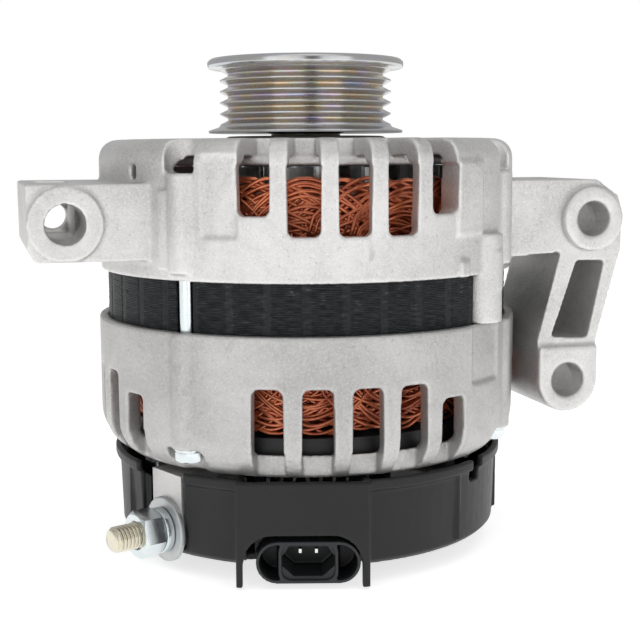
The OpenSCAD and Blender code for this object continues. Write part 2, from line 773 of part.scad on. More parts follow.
module socket_cut() {
    translate([plug_s1 - 13, 0, plug_z]) rotate([90, 0, 90]) linear_extrude(20)
        polygon([[-socket_w / 2, 1.5], [2 - socket_w / 2, 4.4], [socket_w / 2 - 2, 4.4], [socket_w / 2, 1.5],
            [socket_w / 2, -1.2], [socket_w / 2 - 3.4, -4.4], [3.4 - socket_w / 2, -4.4],
            [-socket_w / 2, -1.2]]);
}

module end_pocket(side) {
    r = plug_h / 2 - 1.1;
    inner = socket_w / 2 + 1.4;
    outer = plug_w / 2 - plug_h / 2;
    translate([plug_s1 - 11, 0, plug_z]) rotate([90, 0, 90]) linear_extrude(20)
        polygon(concat([[side * inner, -r + 0.6], [side * inner, r - 0.6]],
            [for (i = [0 : 8]) [side * (outer + r * sin(i * 22.5)), r * cos(i * 22.5)]]));
}

module regulator_housing() {
    color([0.2, 0.21, 0.22])
    panel_place() difference() {
        union() {
            oval(plug_w, plug_h, plug_s0, plug_s1);
            translate([36, -16, foot_h + cover_t + 0.3]) cube([20, 32, 14.5]);
            translate([36, -16, foot_h + cover_t + 0.3]) cube([14, 32, rear_z - foot_h - cover_t - 0.6]);
        }
        socket_cut();
        for (side = [-1, 1]) end_pocket(side);
        // Tray for the finned heat sink
        translate([38, -13, 25]) cube([20, 26, 20]);
        for (side = [-1, 1]) translate([44, side * 14.4, 20]) cylinder(r = 1.2, h = 20);
    }
}

module plug_pins() {
    color("silver")
    panel_place() for (y = [-2.4, 2.4])
        translate([plug_s1 - 13, y - 0.4, plug_z + 1.6]) cube([8.5, 0.8, 1.2]);
}

module regulator_heatsink() {
    color("darkgray")
    panel_place() {
        translate([38.5, -12.5, 25]) cube([11, 25, 2]);
        for (i = [0 : 6]) translate([38.5, -12.5 + i * 4, 26.5]) cube([11, 1, 3.5]);
    }
}

module regulator_screws() {
    color("silver")
    panel_place() for (side = [-1, 1]) translate([44, side * 14.4, 22]) {
        cylinder(r = 1.2, h = rear_z - 22);
    }
}

brush_s0 = ring_r + brush_gap;
brush_s1 = brush_s0 + brush_l;
holder_s0 = 13.5;
holder_s1 = 35.5;

module brush_holder() {
    color([0.25, 0.22, 0.2])
    panel_place() difference() {
        translate([holder_s0, -6, 10]) cube([holder_s1 - holder_s0, 12, 17]);
        for (z = ring_z)
            translate([holder_s0 - 1, -brush_w / 2 - slip, z + ring_h / 2 - brush_h / 2 - slip])
                cube([holder_s1 - holder_s0 - 1, brush_w + 2 * slip, brush_h + 2 * slip]);
    }
}

module brush(z) {
    color("dimgray")
    panel_place() difference() {
        translate([brush_s0 - 1, -brush_w / 2, z + ring_h / 2 - brush_h / 2])
            cube([brush_l + 1, brush_w, brush_h]);
        translate([0, 0, z - 2]) cylinder(r = ring_r + brush_gap, h = ring_h + 4);
    }
}
module front_brush() { brush(ring_z[1]); }
module rear_brush() { brush(ring_z[0]); }

// Compression spring along +X, swept from a small hexagon
module spring_sweep(r, wire, length, turns) {
    per = 12;
    sides = 6;
    n = per * turns;
    points = [for (i = [0 : n]) for (k = [0 : sides - 1])
        let (a = i * 360 / per, b = k * 360 / sides, rr = r + wire * cos(b))
        [wire + (length - 2 * wire) * i / n + wire * sin(b), rr * cos(a), rr * sin(a)]];
    walls = [for (i = [0 : n - 1]) for (k = [0 : sides - 1])
        [i * sides + k, i * sides + (k + 1) % sides, (i + 1) * sides + (k + 1) % sides, (i + 1) * sides + k]];
    start = [for (k = [0 : sides - 1]) sides - 1 - k];
    end = [for (k = [0 : sides - 1]) n * sides + k];
    polyhedron(points, concat([start], walls, [end]));
}

module brush_spring(z) {
    color("silver")
    panel_place() translate([brush_s1 + slip, 0, z + ring_h / 2])
        spring_sweep(1.5, 0.25, holder_s1 - 2 - brush_s1 - 2 * slip, 6);
}
module front_brush_spring() { brush_spring(ring_z[1]); }
module rear_brush_spring() { brush_spring(ring_z[0]); }

// ---- Rotor ----

module rotor_shaft() {
    color("slategray")
    difference() {
        rotate_extrude() polygon([[0, 9], [5.5, 9], [6, 9.5], [6, rear_brg_z - 4],
            [rear_brg[1], rear_brg_z - 3.5], [rear_brg[1], rear_brg_z + rear_brg[2]],
            [shaft_r, rear_brg_z + rear_brg[2]],
            [shaft_r, pole_z1 + fan_t], [front_brg[1], pole_z1 + fan_t],
            [front_brg[1], web_z1 + 1.5], [8, web_z1 + 2], [8, pulley_z1 - 1.6],
            [7.2, pulley_z1 - 0.8], [0, pulley_z1 - 0.8]]);
        hex(8, pulley_z1 - 9, pulley_z1);
    }
}

// One half of the claw-pole rotor: disc, core and six fingers pointing up
module claw_half(turn) {
    finger_z = 2 * pole_half - pole_disc_t + 2;
    difference() {
        union() {
            cylinder(r = hub_r, h = pole_half);
            intersection() {
                union() {
                    cylinder(r = 33, h = pole_disc_t);
                    for (i = [0 : claw_n - 1]) rotate([0, 0, turn + i * 360 / claw_n])
                        translate([0, -9, 0]) cube([60, 18, pole_disc_t]);
                }
                cylinder(r1 = pole_r - 2, r2 = pole_r - 2 + pole_disc_t, h = pole_disc_t);
                cylinder(r = pole_r, h = pole_disc_t);
            }
            intersection() {
                for (i = [0 : claw_n - 1]) rotate([0, 0, turn + i * 360 / claw_n])
                    translate([30, 0, 0]) rotate([90, 0, 90]) linear_extrude(30)
                        polygon([[-9, 4], [9, 4], [9, pole_disc_t], [4, finger_z], [-4, finger_z],
                            [-9, pole_disc_t]]);
                ring(pole_r, 38, 3, finger_z + 1);
            }
        }
        translate([0, 0, -1]) cylinder(r = shaft_r, h = pole_half + 2);
    }
}

module rear_claw_pole() { color("gray") translate([0, 0, pole_z0]) claw_half(0); }
module front_claw_pole() {
    color("gray") translate([0, 0, pole_z1]) mirror([0, 0, 1]) claw_half(180 / claw_n);
}

bobbin_z0 = pole_z0 + pole_disc_t;
bobbin_z1 = pole_z1 - pole_disc_t;

module field_bobbin() {
    color("ivory")
    rotate_extrude() polygon([[hub_r, bobbin_z0], [coil_r + 0.8, bobbin_z0], [coil_r + 0.8, bobbin_z0 + 1.2],
        [hub_r + 1.2, bobbin_z0 + 1.2], [hub_r + 1.2, bobbin_z1 - 1.2], [coil_r + 0.8, bobbin_z1 - 1.2],
        [coil_r + 0.8, bobbin_z1], [hub_r, bobbin_z1]]);
}

module field_coil() {
    color([0.6, 0.25, 0.12]) ring(coil_r, hub_r + 1.2, bobbin_z0 + 1.2, bobbin_z1 - 1.2);
}

// Fan blades as thin curved plates, unevenly spaced to keep the fan quiet
blade_angles = [0, 31, 66, 95, 128, 162, 190, 226, 257, 290, 327];

module fan_blades(r0, h) {
    t = 1.2;
    for (a = blade_angles) rotate([0, 0, a]) linear_extrude(h)
        polygon(concat([for (i = [0 : 6]) let (r = r0 + (fan_r - r0) * i / 6)
                polar(r, -14 * i / 6 * i / 6)],
            [for (i = [6 : -1 : 0]) let (r = r0 + (fan_r - r0) * i / 6)
                polar(r, -14 * i / 6 * i / 6 + t / r * 180 / PI)]));
}

module front_fan() {
    color("lightgray") translate([0, 0, pole_z1]) {
        ring(40, shaft_r, 0, fan_t);
        fan_blades(32, 11.4);
    }
}

module rear_fan() {
    color("dimgray") translate([0, 0, pole_z0]) mirror([0, 0, 1]) {
        ring(40, shaft_r, 0, fan_t);
        fan_blades(27, 10);
    }
}

module slip_ring_sleeve() {
    color([0.35, 0.2, 0.12]) ring(sleeve_r, 6, 10.5, 27);
}
module slip_ring(z) { color([0.8, 0.45, 0.25]) ring(ring_r, sleeve_r, z, z + ring_h); }
module front_slip_ring() { slip_ring(ring_z[1]); }
module rear_slip_ring() { slip_ring(ring_z[0]); }

module shaft_spacer() { color("silver") ring(11.5, front_brg[1], pole_z1 + fan_t, front_brg_z); }

// Rim outline from the lower flange to the upper one, through the V-grooves
module pulley_outline() {
    groove_d = 2.6;
    z0 = first_rib_z - groove_pitch;
    flat = 0.3;
    root_r = pulley_r - groove_d;
    groove = [[pulley_r, flat], [root_r, groove_pitch / 2 - flat], [root_r, groove_pitch / 2 + flat],
        [pulley_r, groove_pitch - flat]];
    grooves = [for (i = [0 : groove_n - 1]) for (p = groove) [p[0], z0 + i * groove_pitch + p[1]]];
    polygon(concat([[24, pulley_z0 + 0.6], [flange_r - 3, pulley_z0 + 0.4], [flange_r - 0.4, pulley_z0],
        [flange_r, pulley_z0 + 1.2], [pulley_r + 0.4, z0 - 0.4], [pulley_r, z0]], grooves,
        [[pulley_r, z0 + groove_n * groove_pitch], [flange_r - 0.6, z0 + groove_n * groove_pitch + 0.9],
         [flange_r, z0 + groove_n * groove_pitch + 1.5], [flange_r, pulley_z1 - 0.8],
         [flange_r - 0.8, pulley_z1], [24.6, pulley_z1], [24, pulley_z1 - 0.6],
         [24, web_z1], [front_brg[1], web_z1], [front_brg[1], front_brg_z + front_brg[2]],
         [11.4, front_brg_z + front_brg[2]], [11.4, pulley_z0], [16, pulley_z0 + 1], [16, web_z0],
         [23, web_z0]]));
}

module pulley() { color([0.75, 0.76, 0.75]) rotate_extrude() pulley_outline(); }

module pulley_nut() {
    color("silver")
    difference() {
        union() {
            translate([0, 0, web_z1]) cylinder(r = 15, h = 1.6);
            hex(24, web_z1 + 1.6, pulley_z1 - 2.2);
        }
        translate([0, 0, web_z1 - 1]) cylinder(r = front_brg[1], h = 3);
        cylinder(r = 8, h = pulley_z1 + 1);
    }
}

drive_end_frame();
slip_ring_end_frame();
stator_core();
stator_winding();
slot_liners();
stator_leads();
rear_baffle();
through_bolts();
front_bearing_outer_race();
front_bearing_seals();
bearing_retainer();
retainer_screws();
rear_bearing_outer_race();
rear_bearing_seals();
rear_cover();
cover_studs();
cover_nuts();
positive_heatsink();
negative_heatsink();
positive_diodes();
negative_diodes();
rectifier_terminal_frame();
rectifier_screws();
output_stud();
output_nut();
output_spring_washer();
output_flat_washer();
regulator_housing();
plug_pins();
regulator_heatsink();
regulator_screws();
brush_holder();
front_brush_spring();
rear_brush_spring();
front_brush();
rear_brush();
rotor_shaft();
front_claw_pole();
rear_claw_pole();
field_bobbin();
field_coil();
front_fan();
rear_fan();
slip_ring_sleeve();
front_slip_ring();
rear_slip_ring();
shaft_spacer();
pulley();
pulley_nut();
front_bearing_inner_race();
rear_bearing_inner_race();
front_bearing_balls();
front_bearing_cage();
rear_bearing_balls();
rear_bearing_cage();
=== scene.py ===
"""Looks for the car alternator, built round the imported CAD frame.

The castings, the cover, the regulator's housing, the pulley, the windings and the visible
fasteners are replaced with detailed pieces, and the stack gets a skin of single sheets. Every other
node keeps its shape and gets a material. Outlines are in millimetres and degrees, as in the CAD.
"""
import json
import math

import bmesh
import bpy
import numpy as np
from mathutils import Matrix, Vector

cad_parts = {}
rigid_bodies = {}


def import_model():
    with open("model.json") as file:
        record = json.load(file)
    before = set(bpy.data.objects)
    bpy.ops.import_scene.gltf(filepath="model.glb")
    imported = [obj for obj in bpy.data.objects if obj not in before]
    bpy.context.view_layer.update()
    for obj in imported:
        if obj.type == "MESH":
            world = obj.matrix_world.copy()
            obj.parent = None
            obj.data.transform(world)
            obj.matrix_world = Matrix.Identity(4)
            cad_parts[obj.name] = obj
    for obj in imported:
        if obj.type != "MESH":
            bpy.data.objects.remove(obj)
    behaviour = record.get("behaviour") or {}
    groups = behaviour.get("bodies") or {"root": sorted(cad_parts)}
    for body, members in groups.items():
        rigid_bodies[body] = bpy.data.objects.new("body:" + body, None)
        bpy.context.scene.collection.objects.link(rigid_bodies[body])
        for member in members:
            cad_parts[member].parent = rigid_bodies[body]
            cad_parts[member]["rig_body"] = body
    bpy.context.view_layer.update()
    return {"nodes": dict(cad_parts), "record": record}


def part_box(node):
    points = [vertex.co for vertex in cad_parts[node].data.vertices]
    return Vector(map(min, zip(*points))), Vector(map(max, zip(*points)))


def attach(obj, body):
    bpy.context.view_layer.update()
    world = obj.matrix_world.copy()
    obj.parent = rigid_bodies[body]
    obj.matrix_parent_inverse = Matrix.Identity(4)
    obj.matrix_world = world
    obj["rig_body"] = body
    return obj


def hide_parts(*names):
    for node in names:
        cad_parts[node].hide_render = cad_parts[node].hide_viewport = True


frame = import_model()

MM = 0.001
NODES = frame["nodes"]
rng = np.random.default_rng(41)


# ---------------------------------------------------------------- places taken from the frame

def low(node, axis):
    """Lowest coordinate of a CAD node along axis 0, 1 or 2, in millimetres."""
    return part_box(node)[0][axis] / MM


def high(node, axis):
    """Highest coordinate of a CAD node along axis 0, 1 or 2, in millimetres."""
    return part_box(node)[1][axis] / MM


CORE_Z0, CORE_Z1 = low("stator_core", 2), high("stator_core", 2)
CORE_R = high("stator_core", 0)
SLOTS = 36
SLOT_PITCH = 360 / SLOTS
REAR_RIM = high("slip_ring_end_frame", 2)
OPEN_BAND = 15
FRONT_RIM = REAR_RIM + OPEN_BAND
FRONT_Z = low("pulley_nut", 2) - 15.4
PULLEY_Z0, PULLEY_Z1 = high("pulley", 2) - 23.9, high("pulley", 2)
PULLEY_R = high("pulley", 0)
BOLT_ANGLES = (-138, -38.5, 42, 141.5)
BOLT_RING = 64.3
COLUMN_ANGLES = (-49, 131)
COLUMN_RING, COLUMN_R = 64.8, 6.3
COVER_STUD_ANGLES = (5, 95, 187)
COVER_STUD_RING = 52.5
PLUG_ANGLE = -105
PLUG_Z, PLUG_FACE = 8.3, 64.2
STUD_ANGLE = -156.5
STUD = Vector((-54.2, -31.3, (low("output_flat_washer", 2) + high("output_flat_washer", 2)) / 2))


# ---------------------------------------------------------------- mesh helpers

def mesh_object(name, verts, faces, material, sharp=35):
    """A mesh piece from vertices in millimetres, shaded smooth but for edges over sharp degrees."""
    mesh = bpy.data.meshes.new(name)
    mesh.from_pydata([tuple(float(x) * MM for x in v) for v in verts], [], [tuple(f) for f in faces])
    work = bmesh.new()
    work.from_mesh(mesh)
    bmesh.ops.remove_doubles(work, verts=work.verts, dist=1e-7)
    bmesh.ops.recalc_face_normals(work, faces=work.faces)
    work.to_mesh(mesh)
    work.free()
    return finish_mesh(name, mesh, material, sharp)


def finish_mesh(name, mesh, material, sharp=35):
    mesh.polygons.foreach_set("use_smooth", [True] * len(mesh.polygons))
    if sharp:
        mesh.set_sharp_from_angle(angle=math.radians(sharp))
    mesh.materials.clear()
    mesh.materials.append(material)
    piece = bpy.data.objects.new(name, mesh)
    bpy.context.scene.collection.objects.link(piece)
    return piece


def rounded(points, radius, steps=3):
    """A closed outline with each corner turned into a small arc. A point may carry its own radius."""
    out = []
    count = len(points)
    for i, point in enumerate(points):
        here = Vector(point[:2])
        before, after = Vector(points[i - 1][:2]), Vector(points[(i + 1) % count][:2])
        a, b = before - here, after - here
        size = point[2] if len(point) > 2 else radius
        turn = a.angle(b, math.pi)
        if size <= 0 or a.length < 1e-6 or b.length < 1e-6 or turn > math.radians(176):
            out.append(tuple(here))
            continue
        cut = min(size / math.tan(turn / 2), 0.45 * a.length, 0.45 * b.length)
        p0, p1 = here + a.normalized() * cut, here + b.normalized() * cut
        for k in range(steps + 1):
            t = k / steps
            out.append(tuple(p0 * (1 - t) ** 2 + here * 2 * t * (1 - t) + p1 * t ** 2))
    return out


def lathe_data(outline, segments=160):
    """Vertices and faces of an outline in (radius, height), turned about Z."""
    angles = np.arange(segments) * 2 * math.pi / segments
    verts, faces = [], []
    for r, z in outline:
        for a in angles:
            verts.append((r * math.cos(a), r * math.sin(a), z))
    count = len(outline)
    for i in range(count):
        j = (i + 1) % count
        for k in range(segments):
            m = (k + 1) % segments
            face = (i * segments + k, i * segments + m, j * segments + m, j * segments + k)
            faces.append(face)
    return verts, faces


def lathe(name, outline, material, segments=160, radius=0.25, sharp=35):
    return mesh_object(name, *lathe_data(rounded(outline, radius), segments), material, sharp)


def place(piece, matrix):
    """Moves a piece's vertices, so that its object stays at the origin."""
    piece.data.transform(matrix)
    return piece


def axis_frame(origin, angle):
    """Takes +Z to the horizontal direction at this angle, through origin in millimetres."""
    turn = Matrix.Rotation(math.radians(angle), 4, "Z") @ Matrix.Rotation(math.radians(90), 4, "Y")
    return Matrix.Translation(Vector(origin) * MM) @ turn


def hex_data(flats, height, bore=0.0, chamfer_top=True, rounding=0.18):
    """A hexagon nut or head along +Z, with the curved edges that a turned chamfer leaves."""
    chamfer = math.radians(32)
    per_side = 10
    count = 6 * per_side
    circle = flats / 2 * 0.97
    verts, faces, rows = [], [], []

    def row(radius_of, z_of):
        start = len(verts)
        for k in range(count):
            a = 2 * math.pi * k / count
            side = (a % (math.pi / 3)) - math.pi / 6
            r = flats / 2 / math.cos(side)
            verts.append((radius_of(r) * math.cos(a), radius_of(r) * math.sin(a), z_of(r)))
        rows.append(start)

    def drop(r):
        return max(0.0, r - circle) * math.tan(chamfer)

    top_drop = drop if chamfer_top else (lambda r: 0.0)
    inner = bore / 2
    if inner:
        row(lambda r: inner, lambda r: height - 0.5)
        row(lambda r: inner + 0.5, lambda r: height)
    row(lambda r: circle - 0.3, lambda r: height)
    row(lambda r: circle, lambda r: height - 0.03)
    row(lambda r: r - rounding * 0.3, lambda r: height - top_drop(r - rounding * 0.3))
    row(lambda r: r, lambda r: height - top_drop(r) - rounding)
    row(lambda r: r, lambda r: drop(r) + rounding)
    row(lambda r: r - rounding * 0.3, lambda r: drop(r - rounding * 0.3))
    row(lambda r: circle, lambda r: 0.03)
    row(lambda r: circle - 0.3, lambda r: 0.0)
    if inner:
        row(lambda r: inner + 0.5, lambda r: 0.0)
        row(lambda r: inner, lambda r: 0.5)
    loops = list(zip(rows, rows[1:] + ([rows[0]] if inner else [])))
    for a, b in loops:
        if not inner and b == rows[0]:
            continue
        for k in range(count):
            m = (k + 1) % count
            faces.append((a + k, a + m, b + m, b + k))
    if not inner:
        faces.append(tuple(rows[0] + k for k in range(count)))
        faces.append(tuple(rows[-1] + k for k in reversed(range(count))))
    return verts, faces


def tubes(paths, radius, sides=6):
    """Vertices and faces of many round wires. Each path is an array of points in millimetres."""
    all_verts, all_faces, base = [], [], 0
    turn = np.arange(sides) * 2 * math.pi / sides
    for path in paths:
        p = np.asarray(path, float)
        tangent = np.gradient(p, axis=0)
        tangent /= np.linalg.norm(tangent, axis=1)[:, None]
        outward = p * [1, 1, 0]
        outward /= np.linalg.norm(outward, axis=1)[:, None] + 1e-9
        side = np.cross(tangent, outward)
        side /= np.linalg.norm(side, axis=1)[:, None] + 1e-9
        other = np.cross(side, tangent)
        ring = (p[:, None, :] + radius * (np.cos(turn)[None, :, None] * side[:, None, :]
                                           + np.sin(turn)[None, :, None] * other[:, None, :]))
        n = len(p)
        all_verts.append(ring.reshape(-1, 3))
        for i in range(n - 1):
            for k in range(sides):
                m = (k + 1) % sides
                a = base + i * sides
                all_faces.append((a + k, a + m, a + sides + m, a + sides + k))
        all_faces.append(tuple(base + k for k in reversed(range(sides))))
        all_faces.append(tuple(base + (n - 1) * sides + k for k in range(sides)))
        base += n * sides
    return np.vstack(all_verts), all_faces


def merged_copy(node, extras):
    """One bmesh holding a copy of a CAD node's mesh and extra solids given in millimetres."""
    work = bmesh.new()
    work.from_mesh(NODES[node].data)
    bmesh.ops.remove_doubles(work, verts=work.verts, dist=1e-7)
    for verts, faces in extras:
        made = [work.verts.new([float(x) * MM for x in v]) for v in verts]
        new = [work.faces.new([made[i] for i in f]) for f in faces]
        bmesh.ops.recalc_face_normals(work, faces=new)
    return work


def moulded(name, node, material, voxel, passes, extras=(), cuts=()):
    """A CAD node with the soft edges of a moulding, with extra solids melted in and others cut out."""
    work = merged_copy(node, extras)
    mesh = bpy.data.meshes.new(name)
    work.to_mesh(mesh)
    work.free()
    rough = bpy.data.objects.new(name + "_rough", mesh)
    bpy.context.scene.collection.objects.link(rough)
    cutters = []
    for verts, faces in cuts:
        cutters.append(mesh_object(name + "_cut", verts, faces, material, 0))
        trim = rough.modifiers.new("Trim", "BOOLEAN")
        trim.operation = "DIFFERENCE"
        trim.object = cutters[-1]
    remesh = rough.modifiers.new("Remesh", "REMESH")
    remesh.mode = "VOXEL"
    coarser = 1.0
    remesh.voxel_size = voxel * coarser * MM
    smooth = rough.modifiers.new("Smooth", "SMOOTH")
    smooth.factor = 0.5
    smooth.iterations = passes
    graph = bpy.context.evaluated_depsgraph_get()
    done = bpy.data.meshes.new_from_object(rough.evaluated_get(graph))
    done.name = name
    for spare in [rough] + cutters:
        bpy.data.objects.remove(spare)
    bpy.data.meshes.remove(mesh)
    piece = finish_mesh(name, done, material, sharp=0)
    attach(piece, NODES[node]["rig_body"])
    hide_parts(node)
    return piece


def turned(part, spin=0.0, x=0.0, y=0.0, lift=0.0):
    """A part's vertices and faces, turned about Z by spin degrees and then moved, in millimetres."""
    c, s = math.cos(math.radians(spin)), math.sin(math.radians(spin))
    verts, faces = part
    return [(c * px - s * py + x, s * px + c * py + y, pz + lift) for px, py, pz in verts], faces


def joined(parts):
    """Several parts' vertices and faces as one."""
    verts, faces = [], []
    for part_verts, part_faces in parts:
        base = len(verts)
        verts += list(part_verts)
        faces += [tuple(i + base for i in face) for face in part_faces]
    return verts, faces


def box_data(x0, y0, z0, x1, y1, z1, angle=0):
    """A block in millimetres, turned about Z by angle degrees."""
    corners = [(x, y, z) for x in (x0, x1) for y in (y0, y1) for z in (z0, z1)]
    faces = [(0, 1, 3, 2), (4, 6, 7, 5), (0, 4, 5, 1), (2, 3, 7, 6), (0, 2, 6, 4), (1, 5, 7, 3)]
    return turned((corners, faces), angle)


# ---------------------------------------------------------------- materials

class Surface:
    """Short forms for building one material's node tree."""

    def __init__(self, name):
        self.material = bpy.data.materials.new(name)
        self.material.use_nodes = True
        self.tree = self.material.node_tree
        self.tree.nodes.clear()
        self.out = self.add("ShaderNodeOutputMaterial")
        self.bsdf = self.add("ShaderNodeBsdfPrincipled")
        self.tree.links.new(self.bsdf.outputs[0], self.out.inputs["Surface"])
        self.place = self.add("ShaderNodeTexCoord").outputs["Object"]

    def add(self, kind, settings=None, **inputs):
        node = self.tree.nodes.new(kind)
        for key, value in (settings or {}).items():
            setattr(node, key, value)
        for key, value in inputs.items():
            self.feed(node.inputs[key.replace("_", " ")], value)
        return node

    def feed(self, socket, value):
        if isinstance(value, bpy.types.NodeSocket):
            self.tree.links.new(value, socket)
        else:
            socket.default_value = value

    def noise(self, scale, detail=3.0, rough=0.55, vector=None, distort=0.0):
        node = self.add("ShaderNodeTexNoise", Vector=vector or self.place, Scale=scale, Detail=detail,
                        Roughness=rough, Distortion=distort)
        return node.outputs["Fac"]

    def cells(self, scale):
        return self.add("ShaderNodeTexVoronoi", Vector=self.place, Scale=scale).outputs["Distance"]

    def stretched(self, x, y, z):
        return self.add("ShaderNodeMapping", Vector=self.place, Scale=(x, y, z)).outputs[0]

    def ramp(self, value, *stops):
        """A colour ramp. Each stop is (position, colour or grey)."""
        node = self.add("ShaderNodeValToRGB", Fac=value)
        band = node.color_ramp
        while len(band.elements) < len(stops):
            band.elements.new(0.5)
        for element, (where, shade) in zip(band.elements, stops):
            element.position = where
            grey = isinstance(shade, (int, float))
            element.color = (shade, shade, shade, 1) if grey else (*shade, 1)
        return node.outputs["Color"]

    def mix(self, factor, a, b, mode="MIX"):
        node = self.add("ShaderNodeMix", {"data_type": "RGBA", "blend_type": mode})
        self.feed(node.inputs[0], factor)
        for socket, value in ((node.inputs[6], a), (node.inputs[7], b)):
            self.feed(socket, (*value, 1) if isinstance(value, tuple) and len(value) == 3 else value)
        return node.outputs[2]

    def math(self, kind, a, b=0.0, c=0.0):
        node = self.add("ShaderNodeMath", {"operation": kind})
        for socket, value in zip(node.inputs, (a, b, c)):
            self.feed(socket, value)
        return node.outputs[0]

    def bump(self, height, strength, distance):
        return self.add("ShaderNodeBump", Height=height, Strength=strength, Distance=distance).outputs[0]

    def set(self, **inputs):
        for key, value in inputs.items():
            self.feed(self.bsdf.inputs[key.replace("_", " ")], value)

    def edges(self, narrow=0.47, wide=0.56):
        """1 on convex edges and 0 in hollows, from the mesh's own shape."""
        point = self.add("ShaderNodeNewGeometry").outputs["Pointiness"]
        return self.ramp(point, (narrow, 0.0), (wide, 1.0))


def cast_metal(name, base, dark, speckle):
    """Blasted die-cast aluminium: coarse skin, pale sparkle, grey flow marks and brighter edges."""
    s = Surface(name)
    blotch = s.ramp(s.noise(38, 5, 0.65, distort=0.5), (0.34, 0.0), (0.66, 1.0))
    grain = s.noise(1300, 5, 0.75)
    colour = s.mix(blotch, dark, base)
    colour = s.mix(s.math("MULTIPLY", s.ramp(grain, (0.38, 0.0), (0.66, 1.0)), 0.5), colour,
                   tuple(min(1.0, c * 1.16) for c in base))
    pits = s.ramp(s.noise(900, 4, 0.8), (0.30, 1.0), (0.42, 0.0))
    colour = s.mix(s.math("MULTIPLY", pits, 0.45), colour, tuple(c * 0.5 for c in dark))
    stain = s.ramp(s.noise(95, 6, 0.75, distort=0.8), (0.60, 0.0), (0.74, 1.0))
    colour = s.mix(s.math("MULTIPLY", stain, 0.5), colour, tuple(c * 0.62 for c in dark))
    point = s.add("ShaderNodeNewGeometry").outputs["Pointiness"]
    # Painted shade: the hollows, found by the mesh's pointiness, are darkened towards a deep grey
    painted_hollow_shade = s.ramp(point, (0.40, 1.0), (0.492, 0.0))
    colour = s.mix(s.math("MULTIPLY", painted_hollow_shade, 0.8), colour, tuple(c * 0.42 for c in dark))
    worn = s.ramp(point, (0.505, 0.0), (0.56, 1.0))
    colour = s.mix(s.math("MULTIPLY", worn, 0.45), colour, tuple(min(1.0, c * 1.28) for c in base))
    sparkle = s.ramp(s.cells(1000), (0.10, 1.0), (0.22, 0.0))
    colour = s.mix(s.math("MULTIPLY", sparkle, speckle), colour, (0.97, 0.97, 0.97))
    rough = s.math("SUBTRACT", s.math("MULTIPLY_ADD", s.noise(600, 3), 0.24, 0.34),
                   s.math("MULTIPLY", sparkle, speckle * 0.3))
    height = s.math("ADD", s.noise(2300, 4, 0.7), s.math("MULTIPLY", s.noise(420, 4, 0.65), 1.8))
    s.set(Base_Color=colour, Metallic=0.82, Roughness=rough, Normal=s.bump(height, 0.55, 0.00022))
    return s.material


def plated_steel(name, base, tint, rough=0.2, grain=0.05, lines=None):
    """Zinc-plated steel: mirror-like with cloudy passivation tints and fine tool marks."""
    s = Surface(name)
    cloud = s.ramp(s.noise(260, 3, 0.5, distort=0.8), (0.35, 0.0), (0.68, 1.0))
    colour = s.mix(cloud, base, tint)
    where = s.stretched(*lines) if lines else None
    marks = s.noise(2400 if not lines else 1, 3, 0.6, vector=where)
    s.set(Base_Color=colour, Metallic=1.0,
          Roughness=s.math("MULTIPLY_ADD", marks, 0.16, rough - 0.06),
          Normal=s.bump(marks, grain, 0.00005))
    return s.material


def pulley_plate(name):
    """Bright plate on turned steel, with the oil-like colours that thin passivation shows."""
    s = Surface(name)
    split = s.add("ShaderNodeSeparateXYZ", Vector=s.place)
    angle = s.math("ARCTAN2", split.outputs["Y"], split.outputs["X"])
    radius = s.math("SQRT", s.math("ADD", s.math("MULTIPLY", split.outputs["X"], split.outputs["X"]),
                                   s.math("MULTIPLY", split.outputs["Y"], split.outputs["Y"])))
    along = s.add("ShaderNodeCombineXYZ", X=s.math("MULTIPLY", angle, 1.3),
                  Y=s.math("MULTIPLY", split.outputs["Z"], 230.0),
                  Z=s.math("MULTIPLY", radius, 700.0)).outputs[0]
    hue = s.noise(1.7, 2, 0.5, vector=along)
    film = s.ramp(hue, (0.30, (0.40, 0.45, 0.50)), (0.42, (0.62, 0.46, 0.30)), (0.50, (0.46, 0.50, 0.40)),
                  (0.58, (0.56, 0.44, 0.52)), (0.70, (0.38, 0.46, 0.56)))
    depth = s.ramp(s.math("MULTIPLY", radius, 30.0), (0.755, 1.0), (0.86, 0.25))
    colour = s.mix(depth, (0.60, 0.62, 0.63), film)
    rings = s.add("ShaderNodeCombineXYZ", X=s.math("MULTIPLY", radius, 9000.0),
                  Y=s.math("MULTIPLY", split.outputs["Z"], 9000.0), Z=0.0).outputs[0]
    marks = s.noise(1.0, 3, 0.6, vector=rings)
    s.set(Base_Color=colour, Metallic=1.0, Roughness=s.math("MULTIPLY_ADD", marks, 0.16, 0.13),
          Normal=s.bump(marks, 0.06, 0.00004))
    return s.material


def plastic(name, base, rough=0.42, grain=0.10):
    """Moulded glass-filled plastic: fine leather grain, faint flow marks and scuffs."""
    s = Surface(name)
    flow = s.ramp(s.noise(35, 4, 0.6, distort=1.0), (0.3, 0.0), (0.75, 1.0))
    colour = s.mix(flow, base, tuple(c * 1.45 for c in base))
    speck = s.ramp(s.cells(420), (0.035, 1.0), (0.06, 0.0))
    colour = s.mix(s.math("MULTIPLY", speck, 0.35), colour, tuple(min(1, c * 6) for c in base))
    worn = s.edges(0.50, 0.60)
    colour = s.mix(s.math("MULTIPLY", worn, 0.35), colour, tuple(min(1, c * 3.0) for c in base))
    s.set(Base_Color=colour, Roughness=s.math("MULTIPLY_ADD", s.noise(320, 3), 0.14, rough - 0.06),
          Specular_IOR_Level=0.38, Normal=s.bump(s.noise(3200, 2), grain, 0.00008))
    return s.material


